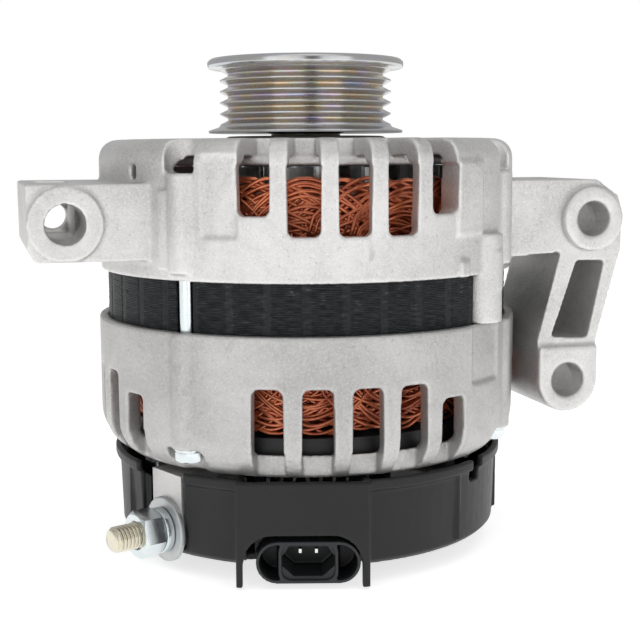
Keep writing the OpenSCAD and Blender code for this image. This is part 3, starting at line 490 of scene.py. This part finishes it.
def copper_wire(name, base, deep):
    """Enamelled copper: orange to dark red by strand, under a glossy varnish."""
    s = Surface(name)
    strand = s.ramp(s.noise(190, 3, 0.6, distort=0.5), (0.32, 0.0), (0.66, 1.0))
    colour = s.mix(strand, deep, base)
    varnish = s.ramp(s.noise(60, 3), (0.45, 0.0), (0.75, 1.0))
    colour = s.mix(s.math("MULTIPLY", varnish, 0.5), colour, tuple(c * 0.45 for c in deep))
    s.set(Base_Color=colour, Metallic=0.72, Roughness=s.math("MULTIPLY_ADD", s.noise(900, 2), 0.2, 0.22),
          Coat_Weight=0.5, Coat_Roughness=0.12, Normal=s.bump(s.noise(2200, 2), 0.05, 0.00005))
    return s.material


def laminations(name):
    """Varnished electrical steel sheets: dark, with pale scratched edges in thin level lines."""
    s = Surface(name)
    split = s.add("ShaderNodeSeparateXYZ", Vector=s.place)
    angle = s.math("ARCTAN2", split.outputs["Y"], split.outputs["X"])
    sheet = s.add("ShaderNodeCombineXYZ", X=s.math("MULTIPLY", angle, 14.0),
                  Y=s.math("FLOOR", s.math("MULTIPLY", split.outputs["Z"], 2000.0)), Z=0.0).outputs[0]
    tone = s.noise(1.0, 2, 0.6, vector=sheet)
    patch = s.noise(55, 3, 0.6)
    colour = s.mix(s.ramp(tone, (0.42, 0.0), (0.68, 1.0)), (0.005, 0.006, 0.007), (0.030, 0.033, 0.035))
    rub = s.math("MULTIPLY", s.ramp(tone, (0.60, 0.0), (0.70, 1.0)), s.ramp(patch, (0.45, 0.0), (0.65, 1.0)))
    colour = s.mix(s.math("MULTIPLY", rub, 0.4), colour, (0.22, 0.24, 0.25))
    s.set(Base_Color=colour, Metallic=0.3, Specular_IOR_Level=0.35,
          Roughness=s.math("MULTIPLY_ADD", tone, 0.22, 0.36),
          Normal=s.bump(s.noise(1800, 3), 0.08, 0.00005))
    return s.material


def plain_grain(name, base, metallic, rough, scale=900, grain=0.08, spread=0.25):
    """A quiet material for parts that hardly show: mottled colour and a fine grain."""
    s = Surface(name)
    colour = s.mix(s.ramp(s.noise(scale / 4, 4), (0.3, 0.0), (0.7, 1.0)),
                   tuple(c * (1 - spread) for c in base), tuple(min(1, c * (1 + spread)) for c in base))
    s.set(Base_Color=colour, Metallic=metallic,
          Roughness=s.math("MULTIPLY_ADD", s.noise(scale, 3), 0.16, rough - 0.06),
          Normal=s.bump(s.noise(scale * 2, 3), grain, 0.00006))
    return s.material


MATERIALS = {
    "cast_aluminium": cast_metal("cast_aluminium", (0.74, 0.733, 0.72), (0.55, 0.543, 0.532), 0.5),
    "lamination": laminations("lamination"),
    "copper": copper_wire("copper", (0.74, 0.22, 0.09), (0.36, 0.07, 0.03)),
    "insulation_paper": plain_grain("insulation_paper", (0.62, 0.55, 0.38), 0.0, 0.7),
    "zinc_steel": plated_steel("zinc_steel", (0.74, 0.77, 0.78), (0.66, 0.73, 0.74)),
    "satin_zinc": plated_steel("satin_zinc", (0.56, 0.57, 0.57), (0.50, 0.51, 0.51), 0.42, 0.12),
    "yellow_zinc": plated_steel("yellow_zinc", (0.74, 0.70, 0.55), (0.70, 0.66, 0.58), 0.24),
    "bearing_steel": plated_steel("bearing_steel", (0.72, 0.73, 0.75), (0.66, 0.68, 0.7), 0.14, 0.02),
    "seal_rubber": plain_grain("seal_rubber", (0.02, 0.02, 0.02), 0.0, 0.6),
    "black_plastic": plastic("black_plastic", (0.007, 0.007, 0.0075), 0.44),
    "grey_plastic": plastic("grey_plastic", (0.016, 0.0175, 0.019), 0.38, 0.08),
    "brown_plastic": plastic("brown_plastic", (0.075, 0.04, 0.022)),
    "heatsink_aluminium": cast_metal("heatsink_aluminium", (0.62, 0.61, 0.60), (0.52, 0.515, 0.51), 0.25),
    "diode_metal": plated_steel("diode_metal", (0.5, 0.46, 0.42), (0.45, 0.42, 0.4), 0.3),
    "tin": plated_steel("tin", (0.8, 0.8, 0.78), (0.74, 0.75, 0.74), 0.16),
    "carbon": plain_grain("carbon", (0.035, 0.035, 0.036), 0.2, 0.5),
    "ground_steel": plated_steel("ground_steel", (0.56, 0.57, 0.58), (0.5, 0.52, 0.54), 0.22,
                                 0.06, (60, 60, 6000)),
    "pole_steel": plain_grain("pole_steel", (0.2, 0.2, 0.205), 0.7, 0.5, 500, 0.3),
    "fan_steel": plain_grain("fan_steel", (0.66, 0.67, 0.66), 0.35, 0.4, 700, 0.2, 0.15),
    "pulley_zinc": pulley_plate("pulley_zinc"),
}
SLOT_OF = {part["node"]: part["material_slot"] for part in frame["record"]["subparts"]}


def add_piece(piece, body, slot, *nodes):
    """A new piece: what it moves with and the CAD nodes that it stands for. The slot, its finish, is not
    used.
    """
    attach(piece, body)
    if nodes:
        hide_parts(*nodes)
    return piece


def dress_cad_nodes():
    for name, node in NODES.items():
        node.data.materials.clear()
        node.data.materials.append(MATERIALS[SLOT_OF[name]])


# ---------------------------------------------------------------- castings and mouldings

def drive_end_casting():
    # Bead along the foot of the slotted wall
    bead = rounded([(49, FRONT_Z - 8), (52.4, FRONT_Z - 8), (52.9, FRONT_Z - 6.6),
                    (52.2, FRONT_Z - 5.4), (49, FRONT_Z - 5.4)], 0.5)
    piece = moulded("drive_end_casting", "drive_end_frame", MATERIALS["cast_aluminium"], 0.6, 4,
                    [lathe_data(bead, 144)])


def slip_ring_end_casting():
    # Its aluminium is the darker copy, which is painted shade
    piece = moulded("slip_ring_end_casting", "slip_ring_end_frame", rear_metal_painted_shade, 0.6, 4)


def cover_moulding():
    piece = moulded("rear_cover_moulding", "rear_cover", MATERIALS["black_plastic"], 0.5, 2)


def prism_data(outline, s0, s1, angle):
    """An outline across the direction at this angle, drawn from distance s0 out to s1."""
    c, s = math.cos(math.radians(angle)), math.sin(math.radians(angle))
    n = len(outline)
    verts = [(c * r - s * y, s * r + c * y, z) for r in (s0, s1) for y, z in outline]
    faces = [tuple(range(n)), tuple(n + i for i in reversed(range(n)))]
    return verts, faces + [(i, n + i, n + (i + 1) % n, (i + 1) % n) for i in range(n)]


def socket_cuts():
    """The shallow recess and the keyed cavity round the two pins, and the two end pockets."""
    half_w, half_h = 7.85, 5.3
    recess = rounded([(-half_w, PLUG_Z - half_h), (half_w, PLUG_Z - half_h),
                      (half_w, PLUG_Z + half_h), (-half_w, PLUG_Z + half_h)], 3.2, 8)
    cavity = [(-6.9, -1.8), (-5.4, -1.8), (-5.4, -3.0), (5.4, -3.0), (5.4, -1.8), (6.9, -1.8),
              (6.9, 1.6), (5.6, 4.5), (-5.6, 4.5), (-6.9, 1.6)]
    cavity = rounded([(y, PLUG_Z + z) for y, z in cavity], 0.3)
    outside = PLUG_FACE + 2
    cuts = [prism_data(recess, PLUG_FACE - 1.3, outside, PLUG_ANGLE),
            prism_data(cavity, PLUG_FACE - 11, outside, PLUG_ANGLE)]
    centre, pocket_r = 9.1, 5.35
    for side in (-1, 1):
        pocket = [(side * 8.8, PLUG_Z - 3.4), (side * 8.2, PLUG_Z - 5.3)]
        pocket += [(side * (centre + pocket_r * math.cos(t)), PLUG_Z + pocket_r * math.sin(t))
                   for t in np.linspace(-1.5, 1.5, 19)]
        pocket += [(side * 8.2, PLUG_Z + 5.3), (side * 8.8, PLUG_Z + 3.4)]
        cuts.append(prism_data(pocket, PLUG_FACE - 9, outside, PLUG_ANGLE))
    return cuts


def regulator_moulding():
    piece = moulded("regulator_moulding", "regulator_housing", MATERIALS["grey_plastic"], 0.26, 2,
                    cuts=socket_cuts())


# ---------------------------------------------------------------- stator

def notched(angles, radius):
    """The stack's outline, cut back round the through bolts and the castings' columns."""
    notches = [(a, BOLT_RING, 3.0) for a in BOLT_ANGLES]
    notches += [(a, COLUMN_RING, COLUMN_R) for a in COLUMN_ANGLES]
    for centre, ring, size in notches:
        gap = (angles - math.radians(centre) + math.pi) % (2 * math.pi) - math.pi
        aside = ring * np.sin(gap)
        floor_r = ring * np.cos(gap) - np.sqrt(np.maximum(size ** 2 - aside ** 2, 0))
        inside = (np.abs(aside) < size) & (np.cos(gap) > 0)
        radius = np.where(inside, np.minimum(radius, floor_r), radius)
    return radius


def stator_skin():
    """The open band of the stack: single sheets, each a little out of line, and upright flutes."""
    sheet = 0.5
    columns = 1440
    patch = 24
    rows = int(round((FRONT_RIM - REAR_RIM + 2) / sheet))
    z0 = REAR_RIM - 1
    angles = np.arange(columns) * 2 * math.pi / columns
    flute = np.zeros(columns)
    for k in range(SLOTS):
        a = math.radians((k + 0.5) * SLOT_PITCH)
        gap = np.abs((angles - a + math.pi) % (2 * math.pi) - math.pi)
        flute -= 0.5 * np.clip(1 - gap / math.radians(1.1), 0, 1) ** 0.5
    skin = notched(angles, CORE_R + 0.16 + flute)
    verts, faces = [], []
    for i in range(rows):
        shift = rng.normal(0, 0.03, columns // patch).repeat(patch)
        level = rng.normal(0, 0.015)
        for dz, out in ((0.02, -0.09), (0.10, 0.0), (0.40, 0.0), (0.48, -0.09)):
            r = skin + out + shift + level
            z = z0 + i * sheet + dz
            verts += [(r[k] * math.cos(angles[k]), r[k] * math.sin(angles[k]), z) for k in range(columns)]
    for i in range(4 * rows - 1):
        for k in range(columns):
            m = (k + 1) % columns
            faces.append((i * columns + k, i * columns + m, (i + 1) * columns + m, (i + 1) * columns + k))
    piece = mesh_object("stator_sheets", verts, faces, MATERIALS["lamination"], 50)
    add_piece(piece, "root", "lamination")


WIRE_R = 0.6
WIRE_LIMIT_R = high("stator_winding", 0) - WIRE_R


def end_turn_paths(z_base, up, tallest):
    """Nested loops of wire from each slot to one 30 to 40 degrees on, as in a laced winding."""
    paths = []
    steps = 18
    loops = 13
    for k in range(SLOTS):
        layer = (57.3, 56.1, 56.8)[k % 3]
        lean = rng.normal(0, 0.4)
        for j in range(loops):
            share = j / (loops - 1)
            start = math.radians(k * SLOT_PITCH + rng.normal(0, 0.8) - 4 * share)
            sweep = math.radians(30 + rng.normal(0, 2) + 10 * share)
            rise = 3.4 + (tallest - 4.2) * share ** 0.85 + rng.normal(0, 0.35)
            power = 0.30 + 0.16 * rng.random()
            depth = layer + rng.normal(0, 0.35)
            twist = 1.3 * rng.normal(0.4, 0.4)
            bow = rng.normal(0, 0.7)
            path = []
            for i in range(steps + 1):
                u = i / steps
                arch = math.sin(math.pi * u) ** power
                a = start + sweep * (u + 0.05 * math.sin(2 * math.pi * u))
                r = depth + twist * (0.5 - u) + lean * math.sin(math.pi * u) * 0.4
                z = rise * arch + bow * math.sin(2 * math.pi * u) * arch
                r = min(r, WIRE_LIMIT_R)
                z = min(max(z, -0.5), tallest - WIRE_R)
                path.append((r * math.cos(a), r * math.sin(a), z_base + up * z))
            paths.append(path)
    return paths


def windings():
    """Two rings of end turns in laced wire round a solid heart, joined through the slots."""
    front_top = high("stator_winding", 2) - CORE_Z1
    rear_top = CORE_Z0 - low("stator_winding", 2)
    paths = end_turn_paths(CORE_Z1, 1, front_top) + end_turn_paths(CORE_Z0, -1, rear_top)
    for z, up in ((CORE_Z1, 1), (CORE_Z0, -1)):
        # Legs of the loops where they leave the slots
        for k in range(SLOTS):
            for j in range(5):
                a = math.radians(k * SLOT_PITCH + rng.normal(0, 1.0))
                r = 52.0 + 1.25 * j
                lean = math.radians(rng.normal(0, 2.5))
                paths.append([(r * math.cos(a + lean * t), r * math.sin(a + lean * t), z + up * (8 * t - 1))
                              for t in (0.0, 0.35, 0.7, 1.0)])
    verts, faces = tubes(paths, WIRE_R)
    wire = mesh_object("stator_end_turns", verts, faces, MATERIALS["copper"], 0)
    add_piece(wire, "root", "copper", "stator_winding")
    heart = []
    for z, up, tall in ((CORE_Z1, 1, front_top), (CORE_Z0, -1, rear_top)):
        heart.append(lathe_data(rounded([(51.4, z + up), (55.6, z + up), (55.9, z + up * (tall - 2.5)),
                                         (51.4, z + up * (tall - 2.0))], 1.0), 144))
    slots_r0, slots_r1 = 51.3, 56.9
    for k in range(SLOTS):
        heart.append(box_data(slots_r0, -1.2, CORE_Z0 - 2, slots_r1, 1.2, CORE_Z1 + 2, k * SLOT_PITCH))
    solid = mesh_object("stator_coil_sides", *joined(heart), dark_copper, 40)
    add_piece(solid, "root", "copper")


# ---------------------------------------------------------------- pulley, nuts and bolts

def pulley_piece():
    z0, z1, flange = PULLEY_Z0, PULLEY_Z1, PULLEY_R
    pitch, rib, depth = 3.56, 28.0, 2.6
    first = z0 + 6.3 - pitch
    outline = [(24.0, z0 + 0.6), (flange - 3, z0 + 0.4), (flange - 0.3, z0 + 0.1, 0.3),
               (flange, z0 + 0.9, 0.5), (rib + 0.5, first - 0.7, 0.8), (rib, first - 0.1, 0.2)]
    for i in range(5):
        base = first + i * pitch
        outline += [(rib, base + 0.22, 0.14), (rib - depth, base + pitch / 2 - 0.3, 0.2),
                    (rib - depth, base + pitch / 2 + 0.3, 0.2), (rib, base + pitch - 0.22, 0.14)]
    top = first + 5 * pitch
    outline += [(rib + 0.1, top + 0.05, 0.2), (flange - 0.4, top + 0.35, 0.5), (flange, top + 1.2, 0.6),
                (flange, z1 - 0.9, 0.8), (flange - 1.1, z1, 0.8), (24.9, z1, 0.5), (24.0, z1 - 0.9, 0.5),
                (24.0, z1 - 10.4, 1.2), (22.5, z1 - 10.4), (8.5, z1 - 10.4), (8.5, z0 - 2.9),
                (11.4, z0 - 2.9), (11.4, z0), (16, z0 + 1), (16, z0 + 6.5), (23, z0 + 6.5)]
    piece = lathe("ribbed_pulley", outline, MATERIALS["pulley_zinc"], 240, 0.2)
    add_piece(piece, "rotor", "pulley_zinc", "pulley")


def pulley_nut_piece():
    z = low("pulley_nut", 2)
    top = high("pulley_nut", 2)
    flange_h = 1.6
    body = turned(hex_data(24, top - z - flange_h, 16), lift=z + flange_h)
    flange = rounded([(8.6, z), (15, z), (15, z + 1.0), (13.4, z + 1.9), (8.6, z + 1.9)], 0.3)
    piece = mesh_object("pulley_nut_piece", *joined([body, lathe_data(flange, 120)]),
                        MATERIALS["zinc_steel"], 30)
    add_piece(piece, "rotor", "zinc_steel", "pulley_nut")


def bolt_pieces():
    """Four through bolts: shank, captive washer and chamfered hexagon head."""
    head_z = low("through_bolts", 2)
    top = high("through_bolts", 2)
    shank = [(0.01, head_z + 4.0), (2.2, head_z + 4.0), (2.2, top - 12.8), (2.05, top - 12.3),
             (2.05, top - 0.6), (1.6, top), (0.01, top)]
    washer = [(0.01, head_z + 3.1), (4.4, head_z + 3.1), (4.6, head_z + 3.5), (4.6, head_z + 4.0),
              (0.01, head_z + 4.0)]
    bolt = joined([lathe_data(rounded(shank, 0.1), 32), lathe_data(rounded(washer, 0.15), 48),
                   turned(hex_data(7.6, 3.1, 0, chamfer_top=False), lift=head_z)])
    bolts = []
    for angle in BOLT_ANGLES:
        turn = math.radians(angle)
        bolts.append(turned(bolt, angle * 1.7, BOLT_RING * math.cos(turn), BOLT_RING * math.sin(turn)))
    piece = mesh_object("through_bolt_set", *joined(bolts), MATERIALS["zinc_steel"], 30)
    add_piece(piece, "root", "zinc_steel", "through_bolts")


def cover_nut_pieces():
    """Three nuts on the cover's studs, each with its own washer."""
    base_z = low("cover_nuts", 2)
    washer = rounded([(2.5, base_z + 3.6), (5.0, base_z + 3.6), (5.2, base_z + 4.0),
                      (5.2, base_z + 4.6), (2.5, base_z + 4.6)], 0.15)
    nut = joined([turned(hex_data(8, 3.8, 4.8), lift=base_z), lathe_data(washer, 48)])
    nuts = []
    for angle in COVER_STUD_ANGLES:
        turn = math.radians(angle)
        nuts.append(turned(nut, 0, COVER_STUD_RING * math.cos(turn), COVER_STUD_RING * math.sin(turn)))
    piece = mesh_object("cover_nut_set", *joined(nuts), MATERIALS["zinc_steel"], 30)
    add_piece(piece, "root", "zinc_steel", "cover_nuts")


# ---------------------------------------------------------------- output terminal

TERMINAL = axis_frame(STUD, STUD_ANGLE)
FLAT_T, SPRING_T, NUT_T = 1.6, 2.8, 7.2
FLAT_Z0 = -1.3  # inner face of the flat washer, along the stud


def threaded_stud():
    """M8 stud: a true helix with rounded crests, run out into a chamfered end."""
    pitch, major, minor = 1.25, 4.0, 3.32
    start, end = -11.0, 18.5
    per_turn, step = 60, pitch / 14
    rows = int((end - start) / step) + 1
    verts, faces = [], []
    for i in range(rows):
        z = start + i * step
        limit = major - max(0.0, z - (end - 1.1)) * 0.75
        for k in range(per_turn):
            phase = ((z / pitch - k / per_turn) % 1.0)
            wave = 0.5 - 0.5 * math.cos(2 * math.pi * phase)
            crest = min(1.0, max(0.0, (wave - 0.12) / 0.72))
            r = min(minor + (major - minor) * crest, limit)
            if z < 0:
                r = major
            a = 2 * math.pi * k / per_turn
            verts.append((r * math.cos(a), r * math.sin(a), z))
    for i in range(rows - 1):
        for k in range(per_turn):
            m = (k + 1) % per_turn
            faces.append((i * per_turn + k, i * per_turn + m, (i + 1) * per_turn + m, (i + 1) * per_turn + k))
    faces.append(tuple(reversed(range(per_turn))))
    last = (rows - 1) * per_turn
    inset = [(v[0] * 0.93, v[1] * 0.93, v[2] + 0.12) for v in verts[last:]]
    verts += inset
    for k in range(per_turn):
        m = (k + 1) % per_turn
        faces.append((last + k, last + m, last + per_turn + m, last + per_turn + k))
    faces.append(tuple(last + per_turn + k for k in range(per_turn)))
    piece = place(mesh_object("terminal_stud", verts, faces, MATERIALS["yellow_zinc"], 60), TERMINAL)
    add_piece(piece, "root", "yellow_zinc", "output_stud")


def terminal_nut():
    nut = turned(hex_data(13, NUT_T, 8.1), 18, lift=FLAT_Z0 + FLAT_T + SPRING_T)
    piece = place(mesh_object("terminal_nut", *nut, MATERIALS["zinc_steel"], 30), TERMINAL)
    add_piece(piece, "root", "zinc_steel", "output_nut")


def spring_washer():
    """A split ring of square wire whose two ends stand a little apart along the stud."""
    inner, outer, turns = 4.15, 7.0, 72
    section = rounded([(inner, 0), (outer, 0), (outer, SPRING_T - 0.25), (inner, SPRING_T - 0.25)], 0.3)
    gap = math.radians(9)
    verts, faces = [], []
    for k in range(turns + 1):
        a = gap / 2 + (2 * math.pi - gap) * k / turns + math.radians(215)
        lift = FLAT_Z0 + FLAT_T + 0.25 * k / turns
        verts += [(r * math.cos(a), r * math.sin(a), z + lift) for r, z in section]
    n = len(section)
    for k in range(turns):
        for i in range(n):
            j = (i + 1) % n
            faces.append((k * n + i, k * n + j, (k + 1) * n + j, (k + 1) * n + i))
    faces.append(tuple(range(n)))
    faces.append(tuple(turns * n + i for i in reversed(range(n))))
    piece = place(mesh_object("terminal_spring_washer", verts, faces, MATERIALS["zinc_steel"], 35), TERMINAL)
    add_piece(piece, "root", "zinc_steel", "output_spring_washer")


def flat_washer():
    outline = [(4.1, FLAT_Z0), (10, FLAT_Z0, 0.15), (10, FLAT_Z0 + FLAT_T, 0.5), (4.1, FLAT_Z0 + FLAT_T)]
    piece = place(lathe("terminal_flat_washer", outline, MATERIALS["satin_zinc"], 96, 0.2), TERMINAL)
    add_piece(piece, "root", "satin_zinc", "output_flat_washer")


# ---------------------------------------------------------------- studio

def camera():
    """The photograph's view: distance, bearing, height and aim of the lens, in millimetres."""
    distance, bearing, height = 417.15, -15.036, 127.89
    yaw, pitch, roll = 0.61, 7.725, -0.259
    lens = 70.36
    a, y, p, r = (math.radians(v) for v in (bearing, yaw, pitch, roll))
    ahead = Vector((-math.sin(a), math.cos(a), 0))
    right = Vector((math.cos(a), math.sin(a), 0))
    heading = math.cos(y) * ahead + math.sin(y) * right
    side = math.cos(y) * right - math.sin(y) * ahead
    up = Vector((0, 0, 1))
    look = math.cos(p) * heading - math.sin(p) * up
    top = math.cos(p) * up + math.sin(p) * heading
    side, top = math.cos(r) * side + math.sin(r) * top, math.cos(r) * top - math.sin(r) * side
    data = bpy.data.cameras.new("camera")
    data.lens = lens
    data.sensor_width = 36
    data.clip_start = 0.01
    cam = bpy.data.objects.new("camera", data)
    cam.matrix_world = Matrix((side, top, -look)).transposed().to_4x4()
    cam.location = Vector((distance * math.sin(a), -distance * math.cos(a), height)) * MM
    bpy.context.scene.collection.objects.link(cam)
    bpy.context.scene.camera = cam


def area_light(name, bearing, elevation, distance, size, radiance, target=(0, 0, 0.09)):
    """A soft box at a bearing from -Y, turned to the object."""
    data = bpy.data.lights.new(name, "AREA")
    data.shape = "RECTANGLE"
    data.size, data.size_y = size
    data.energy = radiance * math.pi * size[0] * size[1]
    b, e = math.radians(bearing), math.radians(elevation)
    back = Vector((math.sin(b) * math.cos(e), -math.cos(b) * math.cos(e), math.sin(e)))
    lamp = bpy.data.objects.new(name, data)
    lamp.location = Vector(target) + back * distance
    lamp.rotation_mode = "QUATERNION"
    lamp.rotation_quaternion = back.to_track_quat("Z", "Y")
    bpy.context.scene.collection.objects.link(lamp)


def surroundings():
    """White behind the object, and soft light from all round that is dimmer behind the camera."""
    world = bpy.data.worlds.new("studio")
    world.use_nodes = True
    tree = world.node_tree
    tree.nodes.clear()
    out = tree.nodes.new("ShaderNodeOutputWorld")
    seen, lit = tree.nodes.new("ShaderNodeBackground"), tree.nodes.new("ShaderNodeBackground")
    seen.inputs["Color"].default_value = (1, 1, 1, 1)
    seen.inputs["Strength"].default_value = 1.0
    way = tree.nodes.new("ShaderNodeTexCoord")
    dot = tree.nodes.new("ShaderNodeVectorMath")
    dot.operation = "DOT_PRODUCT"
    tree.links.new(way.outputs["Generated"], dot.inputs[0])
    dot.inputs[1].default_value = (-0.14, -0.99, 0.0)
    band = tree.nodes.new("ShaderNodeValToRGB")
    band.color_ramp.elements[0].position = 0.55
    band.color_ramp.elements[0].color = (0.50, 0.50, 0.505, 1)
    band.color_ramp.elements[1].position = 0.97
    band.color_ramp.elements[1].color = (0.08, 0.08, 0.085, 1)
    tree.links.new(dot.outputs["Value"], band.inputs["Fac"])
    tree.links.new(band.outputs["Color"], lit.inputs["Color"])
    lit.inputs["Strength"].default_value = 1.0
    path, mix = tree.nodes.new("ShaderNodeLightPath"), tree.nodes.new("ShaderNodeMixShader")
    tree.links.new(path.outputs["Is Camera Ray"], mix.inputs["Fac"])
    tree.links.new(lit.outputs[0], mix.inputs[1])
    tree.links.new(seen.outputs[0], mix.inputs[2])
    tree.links.new(mix.outputs[0], out.inputs["Surface"])
    bpy.context.scene.world = world


def studio():
    area_light("softbox_left", -38.5, 10, 0.9, (0.745, 0.8), 0.9)
    area_light("softbox_right", 20, 10, 0.9, (0.585, 0.8), 0.92)
    area_light("softbox_top", -10, 72, 0.9, (0.8, 0.8), 0.6)

    s = Surface("floor")
    tone = s.ramp(s.noise(3, 2), (0.3, 0.79), (0.7, 0.82))
    s.set(Base_Color=tone, Roughness=0.7, Specular_IOR_Level=0.2,
          Emission_Color=(1, 1, 1, 1), Emission_Strength=0.70)
    reach, thickness = 2600, 3
    outline = [(0.01, -thickness), (reach, -thickness), (reach, 0), (0.01, 0)]
    floor = lathe("floor", outline, s.material, 96, 0)

    view = bpy.context.scene.view_settings
    view.view_transform = "Standard"
    view.look = "None"


# ---------------------------------------------------------------- assembly

# Painted shade: the slip-ring end's aluminium is a darker copy of the drive end's, with fewer pale specks
rear_metal_painted_shade = cast_metal("cast_aluminium_painted_shade", (0.56, 0.554, 0.542), (0.41, 0.405, 0.395), 0.28)
dark_copper = copper_wire("copper_shade", (0.20, 0.05, 0.02), (0.08, 0.018, 0.01))

camera()
dress_cad_nodes()
drive_end_casting()
slip_ring_end_casting()
cover_moulding()
regulator_moulding()
stator_skin()
windings()
pulley_piece()
pulley_nut_piece()
bolt_pieces()
cover_nut_pieces()
threaded_stud()
terminal_nut()
spring_washer()
flat_washer()
surroundings()
studio()
